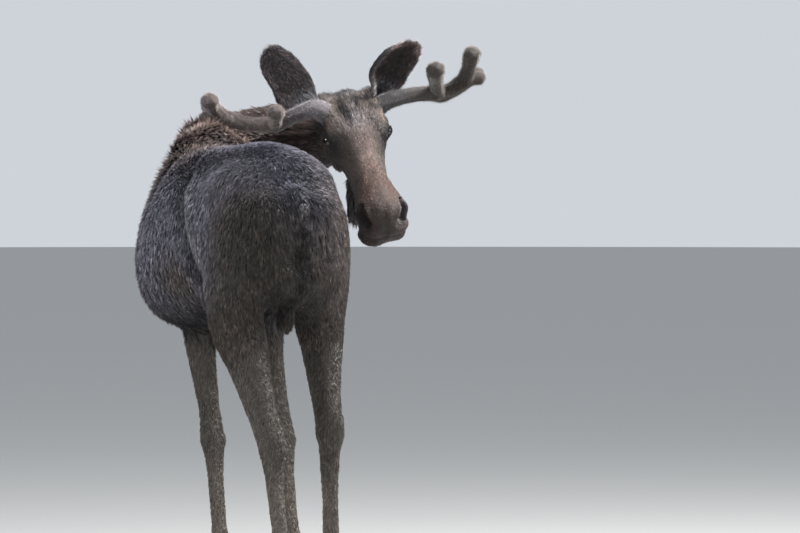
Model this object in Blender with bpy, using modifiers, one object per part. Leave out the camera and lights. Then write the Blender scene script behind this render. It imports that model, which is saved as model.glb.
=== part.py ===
"""A young bull moose in velvet, life size, walking away and looking back over its right shoulder.

The flesh is modelled as one body: oval lofts along the spine, neck, head and legs, with muscles added
as ellipsoids, fused by a voxel remesh. Thin cuts then part it into named nodes. Eyes, ears, antlers,
hooves and dewclaws are pieces of their own. Metres, +Z up, +Y the way the trunk faces, +X its right.
"""
import bmesh
import bpy
import math
from mathutils import Matrix, Vector

GAP = 0.0004              # width of each cut between two nodes of flesh
SLIVER = 12               # a loose piece with fewer corners than this is a crumb of a cut
FIT = 0.0004              # clearance round an eye, ear, antler or hoof set into the flesh
VOXEL = 0.0075            # grain of the fused body before it is simplified
ANTLER_VOXEL = 0.005
SMOOTHING = 80            # rounds that melt the fused forms of the body together
ANTLER_SMOOTHING = 6
FINE_SMOOTHING = 0.08     # share of the smoothing that reaches the head, bell, tail and lower legs
FLESH_TRIANGLES = 3800
ANTLER_TRIANGLES = 300
FINE_SIMPLIFYING = 0.25   # share of the simplifying that reaches the same places
KEEP = 2e-5               # how strongly that share counts
RING_SIDES = 28           # corners of one oval of a loft
STATION_STEPS = 3         # rings added between two stations
CREST_NARROWING = 0.55    # how much a full crest narrows the top of an oval
BELLY_POWER = 0.76        # below 1, the lower half of the trunk's ovals is squarer

UP, RIGHT, FORWARD = Vector((0, 0, 1)), Vector((1, 0, 0)), Vector((0, 1, 0))
SIDES = {"left": -1, "right": 1}

# ---- trunk: y, x, height of the widest level, half width, up to the back, down to the belly, crest
# crest narrows the upper half, from 0 (round) to 1 (a sharp ridge)
TRUNK = [
    (-0.765, 0.000, 1.36, 0.045, 0.05, 0.08, 0.0),
    (-0.742, 0.000, 1.36, 0.110, 0.12, 0.14, 0.1),
    (-0.680, 0.000, 1.34, 0.185, 0.235, 0.20, 0.2),
    (-0.560, 0.000, 1.33, 0.225, 0.300, 0.24, 0.2),
    (-0.400, 0.000, 1.33, 0.235, 0.328, 0.26, 0.2),
    (-0.200, 0.000, 1.32, 0.242, 0.335, 0.27, 0.2),
    (0.000, 0.010, 1.29, 0.262, 0.358, 0.27, 0.2),
    (0.200, 0.030, 1.27, 0.272, 0.385, 0.27, 0.25),
    (0.400, 0.080, 1.26, 0.257, 0.445, 0.28, 0.35),
    (0.560, 0.125, 1.28, 0.222, 0.460, 0.28, 0.45),
    (0.690, 0.160, 1.36, 0.175, 0.310, 0.27, 0.5),
    (0.780, 0.190, 1.41, 0.125, 0.160, 0.19, 0.3),
    (0.825, 0.205, 1.43, 0.070, 0.090, 0.11, 0.0),
]
CHEST_X = 0.15            # middle of the chest between the forelegs, which the bend of the spine carries right

# ---- neck: x, y, z, half width, up, down, crest; it swings to the right and back
NECK = [
    (0.125, 0.480, 1.40, 0.140, 0.24, 0.24, 0.4),
    (0.160, 0.620, 1.45, 0.170, 0.25, 0.27, 0.4),
    (0.235, 0.745, 1.52, 0.145, 0.205, 0.245, 0.4),
    (0.350, 0.815, 1.575, 0.122, 0.175, 0.185, 0.4),
    (0.480, 0.815, 1.620, 0.108, 0.150, 0.150, 0.3),
    (0.590, 0.740, 1.660, 0.102, 0.130, 0.140, 0.2),
    (0.650, 0.640, 1.695, 0.098, 0.115, 0.130, 0.1),
    (0.668, 0.560, 1.715, 0.080, 0.090, 0.105, 0.0),
]

# ---- head frame: the origin is midway between the eyes, +Y runs to the nose and +Z out of the forehead
HEAD_PLACE = Vector((0.667, 0.460, 1.668))
HEAD_HEADING = 176.7      # degrees from the way the trunk faces
HEAD_PITCH = 40.5         # the nose points this far below level
HEAD_ROLL = 11.8          # the right side is this much lower
HEAD = (
    Matrix.Translation(HEAD_PLACE)
    @ Matrix.Rotation(math.radians(HEAD_HEADING), 4, "Z")
    @ Matrix.Rotation(math.radians(-HEAD_PITCH), 4, "X")
    @ Matrix.Rotation(math.radians(HEAD_ROLL), 4, "Y")
)
# y, widest height, half width, up, down, crest
SKULL = [
    (-0.200, -0.030, 0.065, 0.070, 0.080, 0.0),
    (-0.150, -0.025, 0.085, 0.105, 0.105, 0.1),
    (-0.080, -0.020, 0.094, 0.118, 0.150, 0.1),
    (0.000, -0.015, 0.098, 0.108, 0.140, 0.1),
    (0.080, -0.015, 0.084, 0.087, 0.125, 0.2),
    (0.160, -0.020, 0.072, 0.078, 0.112, 0.3),
    (0.240, -0.025, 0.070, 0.082, 0.115, 0.3),
    (0.300, -0.035, 0.079, 0.096, 0.130, 0.2),
    (0.355, -0.050, 0.088, 0.104, 0.135, 0.1),
    (0.400, -0.060, 0.086, 0.092, 0.110, 0.0),
    (0.430, -0.065, 0.066, 0.066, 0.075, 0.0),
    (0.445, -0.065, 0.035, 0.032, 0.040, 0.0),
]
EYE = (0.105, 0.006, 0.002)
EYE_RADIUS = 0.0215

# ---- legs: joints from the trunk to the top of the hooves
LEG_JOINTS = {
    "hind_left": [(-0.125, -0.52, 1.45), (-0.165, -0.50, 1.07), (-0.128, -0.80, 0.650),
                  (-0.135, -0.955, 0.205), (-0.135, -0.915, 0.088)],
    "hind_right": [(0.130, -0.50, 1.45), (0.170, -0.41, 1.10), (0.135, -0.655, 0.690),
                   (0.150, -0.650, 0.205), (0.152, -0.600, 0.088)],
    "fore_left": [(0.030, 0.520, 1.38), (0.055, 0.440, 1.03), (0.095, 0.385, 0.600),
                  (0.112, 0.345, 0.205), (0.114, 0.385, 0.088)],
    "fore_right": [(0.285, 0.520, 1.38), (0.300, 0.430, 1.03), (0.345, 0.345, 0.600),
                   (0.365, 0.295, 0.205), (0.367, 0.335, 0.088)],
}
# how far along the joints, half width, half depth, shift to the rear
HIND_FLESH = [
    (0.00, 0.100, 0.220, 0.00),
    (0.35, 0.104, 0.228, 0.03),
    (0.65, 0.100, 0.205, 0.04),
    (1.00, 0.088, 0.165, 0.06),
    (1.25, 0.072, 0.125, 0.05),
    (1.50, 0.060, 0.096, 0.03),
    (1.75, 0.050, 0.078, 0.02),
    (1.92, 0.046, 0.076, 0.016),
    (2.05, 0.045, 0.066, 0.012),
    (2.20, 0.036, 0.046, 0.000),
    (2.50, 0.029, 0.036, 0.000),
    (2.80, 0.031, 0.037, 0.000),
    (3.00, 0.039, 0.045, 0.000),
    (3.30, 0.037, 0.041, 0.000),
    (3.70, 0.041, 0.041, 0.000),
    (4.08, 0.044, 0.042, 0.000),
]
FORE_FLESH = [
    (0.00, 0.085, 0.180, 0.00),
    (0.50, 0.085, 0.150, 0.01),
    (0.85, 0.074, 0.120, 0.01),
    (1.05, 0.064, 0.098, 0.01),
    (1.35, 0.050, 0.070, 0.00),
    (1.70, 0.040, 0.050, 0.00),
    (1.92, 0.043, 0.049, 0.00),
    (2.05, 0.043, 0.047, 0.00),
    (2.25, 0.032, 0.038, 0.00),
    (2.55, 0.028, 0.034, 0.00),
    (2.80, 0.030, 0.036, 0.00),
    (3.00, 0.038, 0.044, 0.00),
    (3.30, 0.036, 0.040, 0.00),
    (3.70, 0.041, 0.041, 0.00),
    (4.08, 0.044, 0.042, 0.00),
]

# ---- feet
TOE_SPREAD = 0.0285       # from the middle of the foot to the middle of one hoof
TOE_SPLAY = 5             # degrees that each hoof turns out
# height, forward shift, half length, half width of a hoof
HOOF = [
    (0.000, 0.030, 0.074, 0.0262),
    (0.016, 0.027, 0.072, 0.0266),
    (0.052, 0.010, 0.056, 0.0255),
    (0.088, -0.004, 0.043, 0.0235),
]
HOOF_TOP_SLOPE = 0.014    # the coronet is this much higher at the front than in the middle
HOOF_SIDES = 11
HOOF_POINT = 0.45         # how much the front of a hoof narrows
HOOF_INNER = 0.88         # the side towards the other hoof is this much flatter
DEWCLAW = (0.013, 0.012, 0.030)
DEWCLAW_PLACE = (0.024, -0.036, -0.070)    # from the fetlock
DEWCLAW_LEAN = (-28, 12)  # degrees back and outward

# ---- antlers, in the head frame: branch -> points with a radius; they differ from side to side
ANTLERS = {
    "left": {
        "beam": [(-0.085, -0.062, 0.055, 0.036), (-0.130, -0.070, 0.071, 0.031), (-0.205, -0.075, 0.077, 0.026),
                 (-0.285, -0.080, 0.067, 0.026), (-0.335, -0.088, 0.042, 0.028)],
        "tine": [(-0.318, -0.080, 0.052, 0.026), (-0.306, -0.055, 0.140, 0.023), (-0.296, -0.030, 0.205, 0.028),
                 (-0.294, -0.022, 0.226, 0.031)],
        "rear": [(-0.335, -0.088, 0.042, 0.028), (-0.385, -0.105, 0.045, 0.027), (-0.430, -0.120, 0.062, 0.030)],
        "upper": [(-0.425, -0.118, 0.060, 0.028), (-0.442, -0.120, 0.118, 0.024), (-0.452, -0.120, 0.182, 0.030)],
        "outer": [(-0.425, -0.118, 0.060, 0.028), (-0.450, -0.140, 0.050, 0.025), (-0.478, -0.158, 0.045, 0.027)],
    },
    "right": {
        "beam": [(0.085, -0.062, 0.055, 0.036), (0.134, -0.070, 0.090, 0.031), (0.182, -0.075, 0.078, 0.026),
                 (0.231, -0.080, 0.055, 0.026), (0.280, -0.084, 0.032, 0.028)],
        "tine": [(0.276, -0.082, 0.034, 0.025), (0.286, -0.050, 0.095, 0.022), (0.288, -0.020, 0.150, 0.028)],
        "rear": [(0.280, -0.084, 0.032, 0.028), (0.330, -0.100, 0.028, 0.025), (0.385, -0.118, 0.030, 0.025),
                 (0.447, -0.130, 0.060, 0.026), (0.480, -0.132, 0.092, 0.028)],
        "upper": [(0.474, -0.130, 0.086, 0.027), (0.498, -0.116, 0.136, 0.024), (0.508, -0.108, 0.172, 0.030)],
        "outer": [(0.474, -0.130, 0.086, 0.027), (0.488, -0.160, 0.080, 0.025), (0.494, -0.180, 0.078, 0.026)],
    },
}
# cuts at the forks: branch, how far along its points
ANTLER_CUTS = [("tine", 0.45), ("rear", 0.35), ("upper", 0.62), ("outer", 0.75)]

# ---- ears, in the head frame: root, tip, the way the cup opens, half width, depth of the cup
EARS = {
    "left": ((-0.100, -0.140, 0.068), (-0.245, -0.144, 0.266), (-0.35, 0.80, 0.45), 0.078, 0.040),
    "right": ((0.118, -0.140, 0.050), (0.272, -0.240, 0.254), (0.42, 0.80, 0.45), 0.080, 0.040),
}
EAR_THICKNESS = 0.007

COAT = (0.085, 0.066, 0.052, 1)
COLOURS = {
    "trunk": COAT,
    "neck": (0.100, 0.068, 0.050, 1),
    "head": (0.110, 0.078, 0.060, 1),
    "bell": (0.070, 0.050, 0.040, 1),
    "tail": COAT,
    "ear": (0.130, 0.100, 0.085, 1),
    "antler": (0.190, 0.145, 0.115, 1),
    "leg": (0.150, 0.125, 0.100, 1),
    "thigh": (0.095, 0.073, 0.055, 1),
    "hoof": (0.022, 0.019, 0.017, 1),
    "eye": (0.010, 0.007, 0.006, 1),
}


def clear_scene():
    for thing in list(bpy.data.objects):
        bpy.data.objects.remove(thing, do_unlink=True)


def material(name, rough=0.85):
    made = bpy.data.materials.get(name)
    if made:
        return made
    made = bpy.data.materials.new(name)
    made.use_nodes = True
    shader = made.node_tree.nodes["Principled BSDF"]
    shader.inputs["Base Color"].default_value = COLOURS[name]
    shader.inputs["Roughness"].default_value = rough
    shader.inputs["Metallic"].default_value = 0.0
    return made


def spline(stations, steps=STATION_STEPS):
    """A Catmull-Rom curve through rows of numbers of any length."""
    rows = [Vector(row) for row in stations]
    rows = [rows[0] * 2 - rows[1]] + rows + [rows[-1] * 2 - rows[-2]]
    found = []
    for a, b, c, d in zip(rows, rows[1:], rows[2:], rows[3:]):
        for step in range(steps):
            t = step / steps
            found.append(0.5 * (2 * b + (c - a) * t + (2 * a - 5 * b + 4 * c - d) * t**2
                                + (3 * b - a - 3 * c + d) * t**3))
    return found + [rows[-2]]


def ring(bm, frame, power, width, up, down, crest, cap):
    """One oval in the XY plane of frame: width to each side, up and down from its middle."""
    made = bmesh.ops.create_circle(bm, cap_ends=cap, segments=RING_SIDES, radius=1)["verts"]
    for vert in made:
        x, y = vert.co.x, vert.co.y
        if y > 0:
            x *= 1 - crest * CREST_NARROWING * y
        else:
            x, y = math.copysign(abs(x) ** power, x), -abs(y) ** power
        vert.co = frame @ Vector((x * width, y * (up if y > 0 else down), 0))
    return made


def loft(bm, rows, across=None, power=1.0):
    """A closed skin over ovals. A row is a place, half width, up, down and crest. Without across, the
    ovals stand upright along the path; with it, their width lies that way. Power squares the lower half."""
    places = [Vector(row[:3]) for row in rows]
    last = None
    for i, row in enumerate(rows):
        tangent = (places[min(i + 1, len(rows) - 1)] - places[max(i - 1, 0)]).normalized()
        side = tangent.cross(UP) if across is None else across - tangent * across.dot(tangent)
        side.normalize()
        frame = Matrix((side, side.cross(tangent), tangent)).transposed().to_4x4()
        made = ring(bm, Matrix.Translation(places[i]) @ frame, power, *row[3:], i in (0, len(rows) - 1))
        edges = {edge for vert in made for edge in vert.link_edges}
        if last:
            bmesh.ops.bridge_loops(bm, edges=list(last | edges))
        last = edges


def merge(bm, extra, matrix):
    """Adds another bmesh, moved by the matrix."""
    bmesh.ops.transform(extra, matrix=matrix, verts=extra.verts)
    mesh = bpy.data.meshes.new("extra")
    extra.to_mesh(mesh)
    extra.free()
    bm.from_mesh(mesh)
    bpy.data.meshes.remove(mesh)


def ball(bm, place, radii, turn=None):
    """A muscle or a knob of bone; turn is degrees about X, Y and Z."""
    matrix = Matrix.Translation(place)
    for angle, axis in zip(turn or (), "XYZ"):
        matrix = matrix @ Matrix.Rotation(math.radians(angle), 4, axis)
    bmesh.ops.create_icosphere(bm, subdivisions=3, radius=1, matrix=matrix @ Matrix.Diagonal((*radii, 1)))


def finish(bm, name):
    """An object from the bmesh, with its faces turned out."""
    bmesh.ops.recalc_face_normals(bm, faces=bm.faces)
    mesh = bpy.data.meshes.new(name)
    bm.to_mesh(mesh)
    bm.free()
    made = bpy.data.objects.new(name, mesh)
    bpy.context.scene.collection.objects.link(made)
    return made


def modifier(thing, kind, **settings):
    made = thing.modifiers.new(kind.lower(), kind)
    for key, value in settings.items():
        setattr(made, key, value)
    return made


def applied(thing):
    """The object with its modifiers made real."""
    graph = bpy.context.evaluated_depsgraph_get()
    old = thing.data
    thing.data = bpy.data.meshes.new_from_object(thing.evaluated_get(graph))
    thing.modifiers.clear()
    bpy.data.meshes.remove(old)
    thing.data.name = thing.name
    return thing


def copy_of(thing, name):
    made = thing.copy()
    made.data = thing.data.copy()
    made.name = name
    bpy.context.scene.collection.objects.link(made)
    return made


def swollen(thing, by=FIT):
    """A slightly larger copy, to cut with."""
    made = copy_of(thing, "cutter")
    modifier(made, "DISPLACE", strength=by, mid_level=0)
    return applied(made)


def joined(things, name):
    bm = bmesh.new()
    for thing in things:
        bm.from_mesh(thing.data)
        bpy.data.objects.remove(thing, do_unlink=True)
    return finish(bm, name)


def cut(thing, cutters):
    """Takes the cutters away from the thing. They are used up."""
    tool = joined(cutters, "tool")
    modifier(thing, "BOOLEAN", object=tool, operation="DIFFERENCE", solver="EXACT")
    applied(thing)
    bpy.data.objects.remove(tool, do_unlink=True)
    return thing


def slab(place, normal, along, across=None, way=FORWARD):
    """A thin disc that parts the flesh, along its own way and across it."""
    normal = Vector(normal).normalized()
    way = (way - normal * way.dot(normal)).normalized()
    turn = Matrix((way.cross(normal), way, normal)).transposed().to_4x4()
    size = Matrix.Diagonal((across or along, along, 1, 1))
    bm = bmesh.new()
    bmesh.ops.create_cone(bm, cap_ends=True, segments=20, radius1=1, radius2=1, depth=GAP,
                          matrix=Matrix.Translation(place) @ turn @ size)
    return finish(bm, "slab")


def leg_place(leg, along):
    """The point so far along a leg's joints, 0 at the trunk and 4 at the hooves."""
    joints = [Vector(joint) for joint in LEG_JOINTS[leg]]
    first = min(int(along), len(joints) - 2)
    return joints[first].lerp(joints[first + 1], along - first)


def leg_profile(leg):
    return HIND_FLESH if leg.startswith("hind") else FORE_FLESH


def add_legs(bm):
    for leg in LEG_JOINTS:
        rows = []
        for along, width, depth, back in leg_profile(leg):
            rows.append((*(leg_place(leg, along) - FORWARD * back), width, depth, depth, 0.0))
        loft(bm, spline(rows), across=RIGHT)
        middle = leg_place(leg, 2)
        if leg.startswith("hind"):
            shin = (middle - leg_place(leg, 3)).normalized()
            rear = shin.cross(RIGHT).normalized()
            heel = middle + shin * 0.050 + rear * 0.072
            tendon = [(heel - shin * 0.035 - rear * 0.02, 0.020, 0.022), (heel, 0.022, 0.026),
                      (heel.lerp(leg_place(leg, 1.55) - FORWARD * 0.080, 0.5), 0.014, 0.022),
                      (leg_place(leg, 1.50) - FORWARD * 0.085, 0.020, 0.030)]
            loft(bm, spline([(*place, width, depth, depth, 0.0) for place, width, depth in tendon]), across=RIGHT)
            ball(bm, middle, (0.050, 0.048, 0.060))
        else:
            ball(bm, middle + Vector((0, 0.010, 0.0)), (0.044, 0.042, 0.062))
            ball(bm, leg_place(leg, 1) + Vector((0, -0.085, 0.03)), (0.045, 0.045, 0.07))


def add_muscles(bm):
    for side in SIDES.values():
        ball(bm, (side * 0.155, -0.300, 1.495), (0.052, 0.085, 0.055), (0, side * 30, 0))     # point of hip
        ball(bm, (side * 0.088, -0.685, 1.375), (0.078, 0.095, 0.145))                        # point of buttock
        ball(bm, (side * 0.105, -0.440, 1.440), (0.105, 0.250, 0.160), (0, side * 22, 0))     # croup
        ball(bm, (side * 0.128, -0.585, 1.290), (0.092, 0.155, 0.240))                        # rear of thigh
        ball(bm, (side * 0.155, -0.350, 1.180), (0.070, 0.120, 0.130), (20, 0, 0))            # fold of the flank
        ball(bm, (CHEST_X + side * 0.120, 0.480, 1.400), (0.080, 0.140, 0.280), (14, side * -12, 0))  # shoulder
        ball(bm, (CHEST_X + side * 0.088, 0.500, 1.200), (0.110, 0.165, 0.200), (25, 0, 0))   # upper arm
        ball(bm, (CHEST_X + 0.015 + side * 0.060, 0.600, 1.230), (0.095, 0.130, 0.175))       # breast
    ball(bm, (0.115, 0.540, 1.640), (0.060, 0.190, 0.085), (-4, 0, 0))                        # withers
    ball(bm, (CHEST_X, 0.480, 1.070), (0.110, 0.260, 0.090))                                  # breastbone
    ball(bm, (-0.005, -0.610, 1.065), (0.040, 0.060, 0.062))                                  # between the thighs


def add_head(bm):
    own = bmesh.new()
    loft(own, spline([(0, y, z, width, up, down, crest) for y, z, width, up, down, crest in SKULL]))
    for side in SIDES.values():
        ball(own, (side * 0.087, 0.002, 0.006), (0.036, 0.050, 0.036), (0, 0, side * 12))     # orbit
        ball(own, (side * 0.070, -0.010, 0.055), (0.040, 0.060, 0.030), (0, side * 30, 0))    # brow
        ball(own, (side * 0.066, -0.020, -0.085), (0.030, 0.085, 0.075), (-12, 0, 0))         # cheek
        ball(own, (side * 0.082, -0.060, 0.058), (0.040, 0.036, 0.034))                       # pedicle
        ball(own, (side * 0.085, -0.130, 0.045), (0.040, 0.038, 0.048))                       # ear root
        ball(own, (side * 0.066, 0.382, -0.020), (0.028, 0.042, 0.034), (0, 0, side * -14))   # nostril
        ball(own, (side * 0.050, 0.375, -0.120), (0.042, 0.055, 0.048))                       # upper lip
    ball(own, (0, -0.070, 0.072), (0.050, 0.080, 0.034))                                      # forehead
    ball(own, (0, 0.330, -0.170), (0.046, 0.062, 0.036), (14, 0, 0))                          # lower lip
    merge(bm, own, HEAD)


def add_trunk(bm):
    rows = [(x, y, z, width, up, down, crest) for y, x, z, width, up, down, crest in TRUNK]
    loft(bm, spline(rows), power=BELLY_POWER)


def add_neck(bm):
    loft(bm, spline(NECK))


BELL_TOP = HEAD @ Vector((0, -0.030, -0.150))
BELL_DROP = 0.215
TAIL_ROOT = Vector((0.0, -0.725, 1.510))


def add_bell_and_tail(bm):
    rows = [(0.00, 0.052, 0.022), (0.35, 0.036, 0.019), (0.75, 0.026, 0.018), (1.00, 0.015, 0.013)]
    loft(bm, spline([(*(BELL_TOP - UP * drop * BELL_DROP), depth, width, width, 0.0)
                     for drop, depth, width in rows]), across=FORWARD)
    rows = [(0.050, 0.000, 0.036, 0.030), (-0.020, -0.012, 0.032, 0.024), (-0.060, -0.040, 0.028, 0.018),
            (-0.078, -0.083, 0.024, 0.014), (-0.083, -0.130, 0.017, 0.011)]
    loft(bm, spline([(*(TAIL_ROOT + Vector((0, y, z))), width, depth, depth, 0.0)
                     for y, z, width, depth in rows]), across=RIGHT)


def weighted(thing, name, fine, least):
    """A vertex group of full weight, falling to least within the given places and reaches."""
    group = thing.vertex_groups.new(name=name)
    for vert in thing.data.vertices:
        near = min(((vert.co - place).length / reach for place, reach in fine), default=2.0)
        share = min(1, max(0, near * 2 - 1))
        group.add([vert.index], least + (1 - least) * share, "REPLACE")


def fused(bm, name, voxel, rounds, fine=()):
    """The overlapping forms as one smooth closed mesh, smoothed less at the fine places."""
    made = finish(bm, name)
    modifier(made, "REMESH", mode="VOXEL", voxel_size=voxel, adaptivity=0.0)
    applied(made)
    weighted(made, "smooth", fine, FINE_SMOOTHING)
    modifier(made, "SMOOTH", factor=0.5, iterations=rounds, vertex_group="smooth")
    return applied(made)


def simplified(thing, triangles, fine=()):
    """Fewer triangles, kept denser at the fine places."""
    thing.vertex_groups.clear()
    weighted(thing, "coarse", fine, FINE_SIMPLIFYING)
    modifier(thing, "TRIANGULATE")
    applied(thing)
    modifier(thing, "DECIMATE", ratio=triangles / len(thing.data.polygons), vertex_group="coarse",
             vertex_group_factor=KEEP, use_collapse_triangulate=True)
    return applied(thing)


def split(thing, anchors, kind):
    """The loose pieces of the thing, each named after the nearest anchor."""
    bpy.context.view_layer.objects.active = thing
    for other in bpy.context.scene.objects:
        other.select_set(other is thing)
    bpy.ops.mesh.separate(type="LOOSE")
    free = dict(anchors)
    for piece in sorted(bpy.context.selected_objects, key=lambda piece: -len(piece.data.vertices)):
        if len(piece.data.vertices) < SLIVER:
            bpy.data.objects.remove(piece, do_unlink=True)
            continue
        middle = sum((vert.co for vert in piece.data.vertices), Vector()) / len(piece.data.vertices)
        name = min(free, key=lambda key: (free[key] - middle).length)
        del free[name]
        piece.name = piece.data.name = name
        piece.data.materials.clear()
        piece.data.materials.append(material(kind(name)))


def hoof(side, centre):
    """One hoof, standing on a flat sole at z = 0."""
    bm = bmesh.new()
    last = None
    for level, (height, shift, length, width) in enumerate(HOOF):
        top = level == len(HOOF) - 1
        made = bmesh.ops.create_circle(bm, cap_ends=level == 0 or top, segments=HOOF_SIDES, radius=1)["verts"]
        for vert in made:
            x, y = vert.co.x, vert.co.y
            taper = 1 - HOOF_POINT * max(0, y) ** 2
            inner = 1.0 if x * side > 0 else HOOF_INNER
            vert.co = Vector((x * width * taper * inner, shift + y * length,
                              height + (HOOF_TOP_SLOPE * y if top else 0)))
        edges = {edge for vert in made for edge in vert.link_edges}
        if last:
            bmesh.ops.bridge_loops(bm, edges=list(last | edges))
        last = edges
    turn = Matrix.Rotation(math.radians(-TOE_SPLAY * side), 4, "Z")
    place = Matrix.Translation((centre.x + side * TOE_SPREAD, centre.y, 0))
    bmesh.ops.transform(bm, matrix=place @ turn, verts=bm.verts)
    return finish(bm, "hoof")


def dewclaw(side, centre):
    bm = bmesh.new()
    back, out = (math.radians(angle) for angle in DEWCLAW_LEAN)
    turn = Matrix.Rotation(back, 4, "X") @ Matrix.Rotation(side * out, 4, "Y")
    bmesh.ops.create_uvsphere(bm, u_segments=6, v_segments=4, radius=1,
                              matrix=Matrix.Translation(centre) @ turn @ Matrix.Diagonal((*DEWCLAW, 1)))
    return finish(bm, "dewclaw")


def make_feet():
    """The hooves and dewclaws of all four feet."""
    made = []
    for leg in LEG_JOINTS:
        foot, fetlock = leg_place(leg, 4), leg_place(leg, 3)
        for side, toe in ((-1, "left"), (1, "right")):
            piece = hoof(side, foot)
            piece.name = piece.data.name = f"{leg}_hoof_{toe}"
            made.append(piece)
            across, forward, up = DEWCLAW_PLACE
            piece = dewclaw(side, fetlock + Vector((side * across, forward, up)))
            piece.name = piece.data.name = f"{leg}_dewclaw_{toe}"
            made.append(piece)
    for piece in made:
        piece.data.materials.append(material("hoof", 0.45))
    return made


def make_eyes():
    made = []
    for name, side in SIDES.items():
        bm = bmesh.new()
        place = HEAD @ Vector((side * EYE[0], EYE[1], EYE[2]))
        bmesh.ops.create_uvsphere(bm, u_segments=11, v_segments=6, radius=EYE_RADIUS,
                                  matrix=Matrix.Translation(place))
        piece = finish(bm, f"eye_{name}")
        piece.data.materials.append(material("eye", 0.08))
        made.append(piece)
    return made


def ear_half_width(along):
    """Share of the ear's half width: a stalk, then a leaf with a blunt point."""
    stalk = 0.42
    leaf = math.sin(math.pi * min(1, along) ** 0.82) ** 0.75
    return max(leaf, stalk * (1 - along) ** 0.5, 0.10)


def ear(name):
    root, tip, opens, width, cup = EARS[name]
    root, tip, opens = Vector(root), Vector(tip), Vector(opens)
    along = tip - root
    length = along.length
    along.normalize()
    opens = (opens - along * opens.dot(along)).normalized()
    across = along.cross(opens)
    bm = bmesh.new()
    bmesh.ops.create_grid(bm, x_segments=5, y_segments=8, size=1)
    for vert in bm.verts:
        t, s = vert.co.x, (vert.co.y + 1) / 2
        half = width * ear_half_width(s)
        fold = 1 - 0.35 * (1 - s)
        deep = cup * (1 - s) ** 0.4 * t * t + 0.012 * (1 - s) * t * t
        bow = 0.10 * length * math.sin(math.pi * s) * -0.5
        vert.co = root + along * s * length + across * t * half * fold + opens * (deep + bow)
    bmesh.ops.transform(bm, matrix=HEAD, verts=bm.verts)
    piece = finish(bm, f"ear_{name}")
    modifier(piece, "SOLIDIFY", thickness=EAR_THICKNESS, offset=0)
    applied(piece)
    piece.data.materials.append(material("ear"))
    return piece


def branch_place(points, along):
    """The point and the way the branch runs, that share of its points along."""
    at = along * (len(points) - 1)
    first = min(int(at), len(points) - 2)
    a, b = Vector(points[first][:3]), Vector(points[first + 1][:3])
    return a.lerp(b, at - first), b - a


def antler(side):
    bm = bmesh.new()
    branches = ANTLERS[side]
    for points in branches.values():
        for row in spline(points, 5):
            bmesh.ops.create_icosphere(bm, subdivisions=2, radius=row[3], matrix=Matrix.Translation(row[:3]))
    bmesh.ops.transform(bm, matrix=HEAD, verts=bm.verts)
    whole = simplified(fused(bm, f"antler_{side}", ANTLER_VOXEL, ANTLER_SMOOTHING), ANTLER_TRIANGLES)
    slabs, anchors = [], {}
    for branch, along in ANTLER_CUTS:
        place, way = branch_place(branches[branch], along)
        slabs.append(slab(HEAD @ place, HEAD.to_3x3() @ way, 0.048))
    for branch, points in branches.items():
        share = {"beam": 0.45, "rear": 0.75}.get(branch, 1.0)
        anchors[f"antler_{side}_{branch}"] = HEAD @ branch_place(points, share)[0]
    return whole, slabs, anchors


def make_flesh():
    bm = bmesh.new()
    add_trunk(bm)
    add_neck(bm)
    add_legs(bm)
    add_muscles(bm)
    add_head(bm)
    add_bell_and_tail(bm)
    fine = [(HEAD @ Vector((0, 0.12, -0.03)), 0.40), (BELL_TOP - UP * 0.12, 0.16), (TAIL_ROOT - UP * 0.07, 0.14)]
    for leg in LEG_JOINTS:
        fine += [(leg_place(leg, along), 0.20) for along in (1.4, 1.7, 2.0, 2.3, 2.7, 3.0, 3.5, 4.0)]
    return simplified(fused(bm, "flesh", VOXEL, SMOOTHING, fine), FLESH_TRIANGLES, fine)


def flesh_cuts():
    """Slabs where a person would part the body."""
    made = [
        slab((0.190, 0.660, 1.480), (0.45, 0.72, 0.50), 0.40, 0.33, UP),      # root of the neck
        slab((0.420, 0.825, 1.600), (1.00, 0.02, 0.22), 0.24),                # middle of the neck
        slab((0.655, 0.610, 1.700), (0.10, -0.93, -0.20), 0.22, 0.22, UP),    # behind the skull
        slab(BELL_TOP - UP * 0.055, UP, 0.060),
        slab(TAIL_ROOT + Vector((0, -0.062, -0.044)), (0, -0.6, -1), 0.045, 0.045, UP),
    ]
    for leg in LEG_JOINTS:
        side = -1 if leg.endswith("left") else 1
        rows = leg_profile(leg)
        if leg.startswith("hind"):
            made.append(slab(leg_place(leg, 1.0) + Vector((side * 0.01, -0.03, 0)), (-side * 0.55, 0.42, 1),
                             0.36, 0.15))
            cuts = (1.35, 2.30, 3.22)
        else:
            made.append(slab(leg_place(leg, 1.17), UP, 0.14, 0.10))
            cuts = (2.22, 3.22)
        for along in cuts:
            near = min(rows, key=lambda row: abs(row[0] - along))
            made.append(slab(leg_place(leg, along) - FORWARD * near[3],
                             leg_place(leg, along + 0.1) - leg_place(leg, along - 0.1), near[2] * 1.7, near[1] * 1.8))
    return made


def flesh_anchors():
    found = {
        "trunk": Vector((0.03, 0.0, 1.33)),
        "neck_lower": Vector((0.30, 0.79, 1.55)),
        "neck_upper": Vector((0.56, 0.75, 1.65)),
        "head": HEAD @ Vector((0, 0.10, -0.03)),
        "bell": BELL_TOP - UP * 0.13,
        "tail": TAIL_ROOT + Vector((0, -0.05, -0.06)),
    }
    for leg in LEG_JOINTS:
        if leg.startswith("hind"):
            parts = {"thigh": 1.05, "gaskin": 1.75, "cannon": 2.7, "pastern": 3.7}
        else:
            parts = {"forearm": 1.5, "cannon": 2.7, "pastern": 3.7}
        for part, along in parts.items():
            found[f"{leg}_{part}"] = leg_place(leg, along)
    return found


def flesh_kind(name):
    for word in ("neck", "head", "bell", "tail", "thigh", "trunk"):
        if word in name:
            return word
    return "leg"


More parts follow.
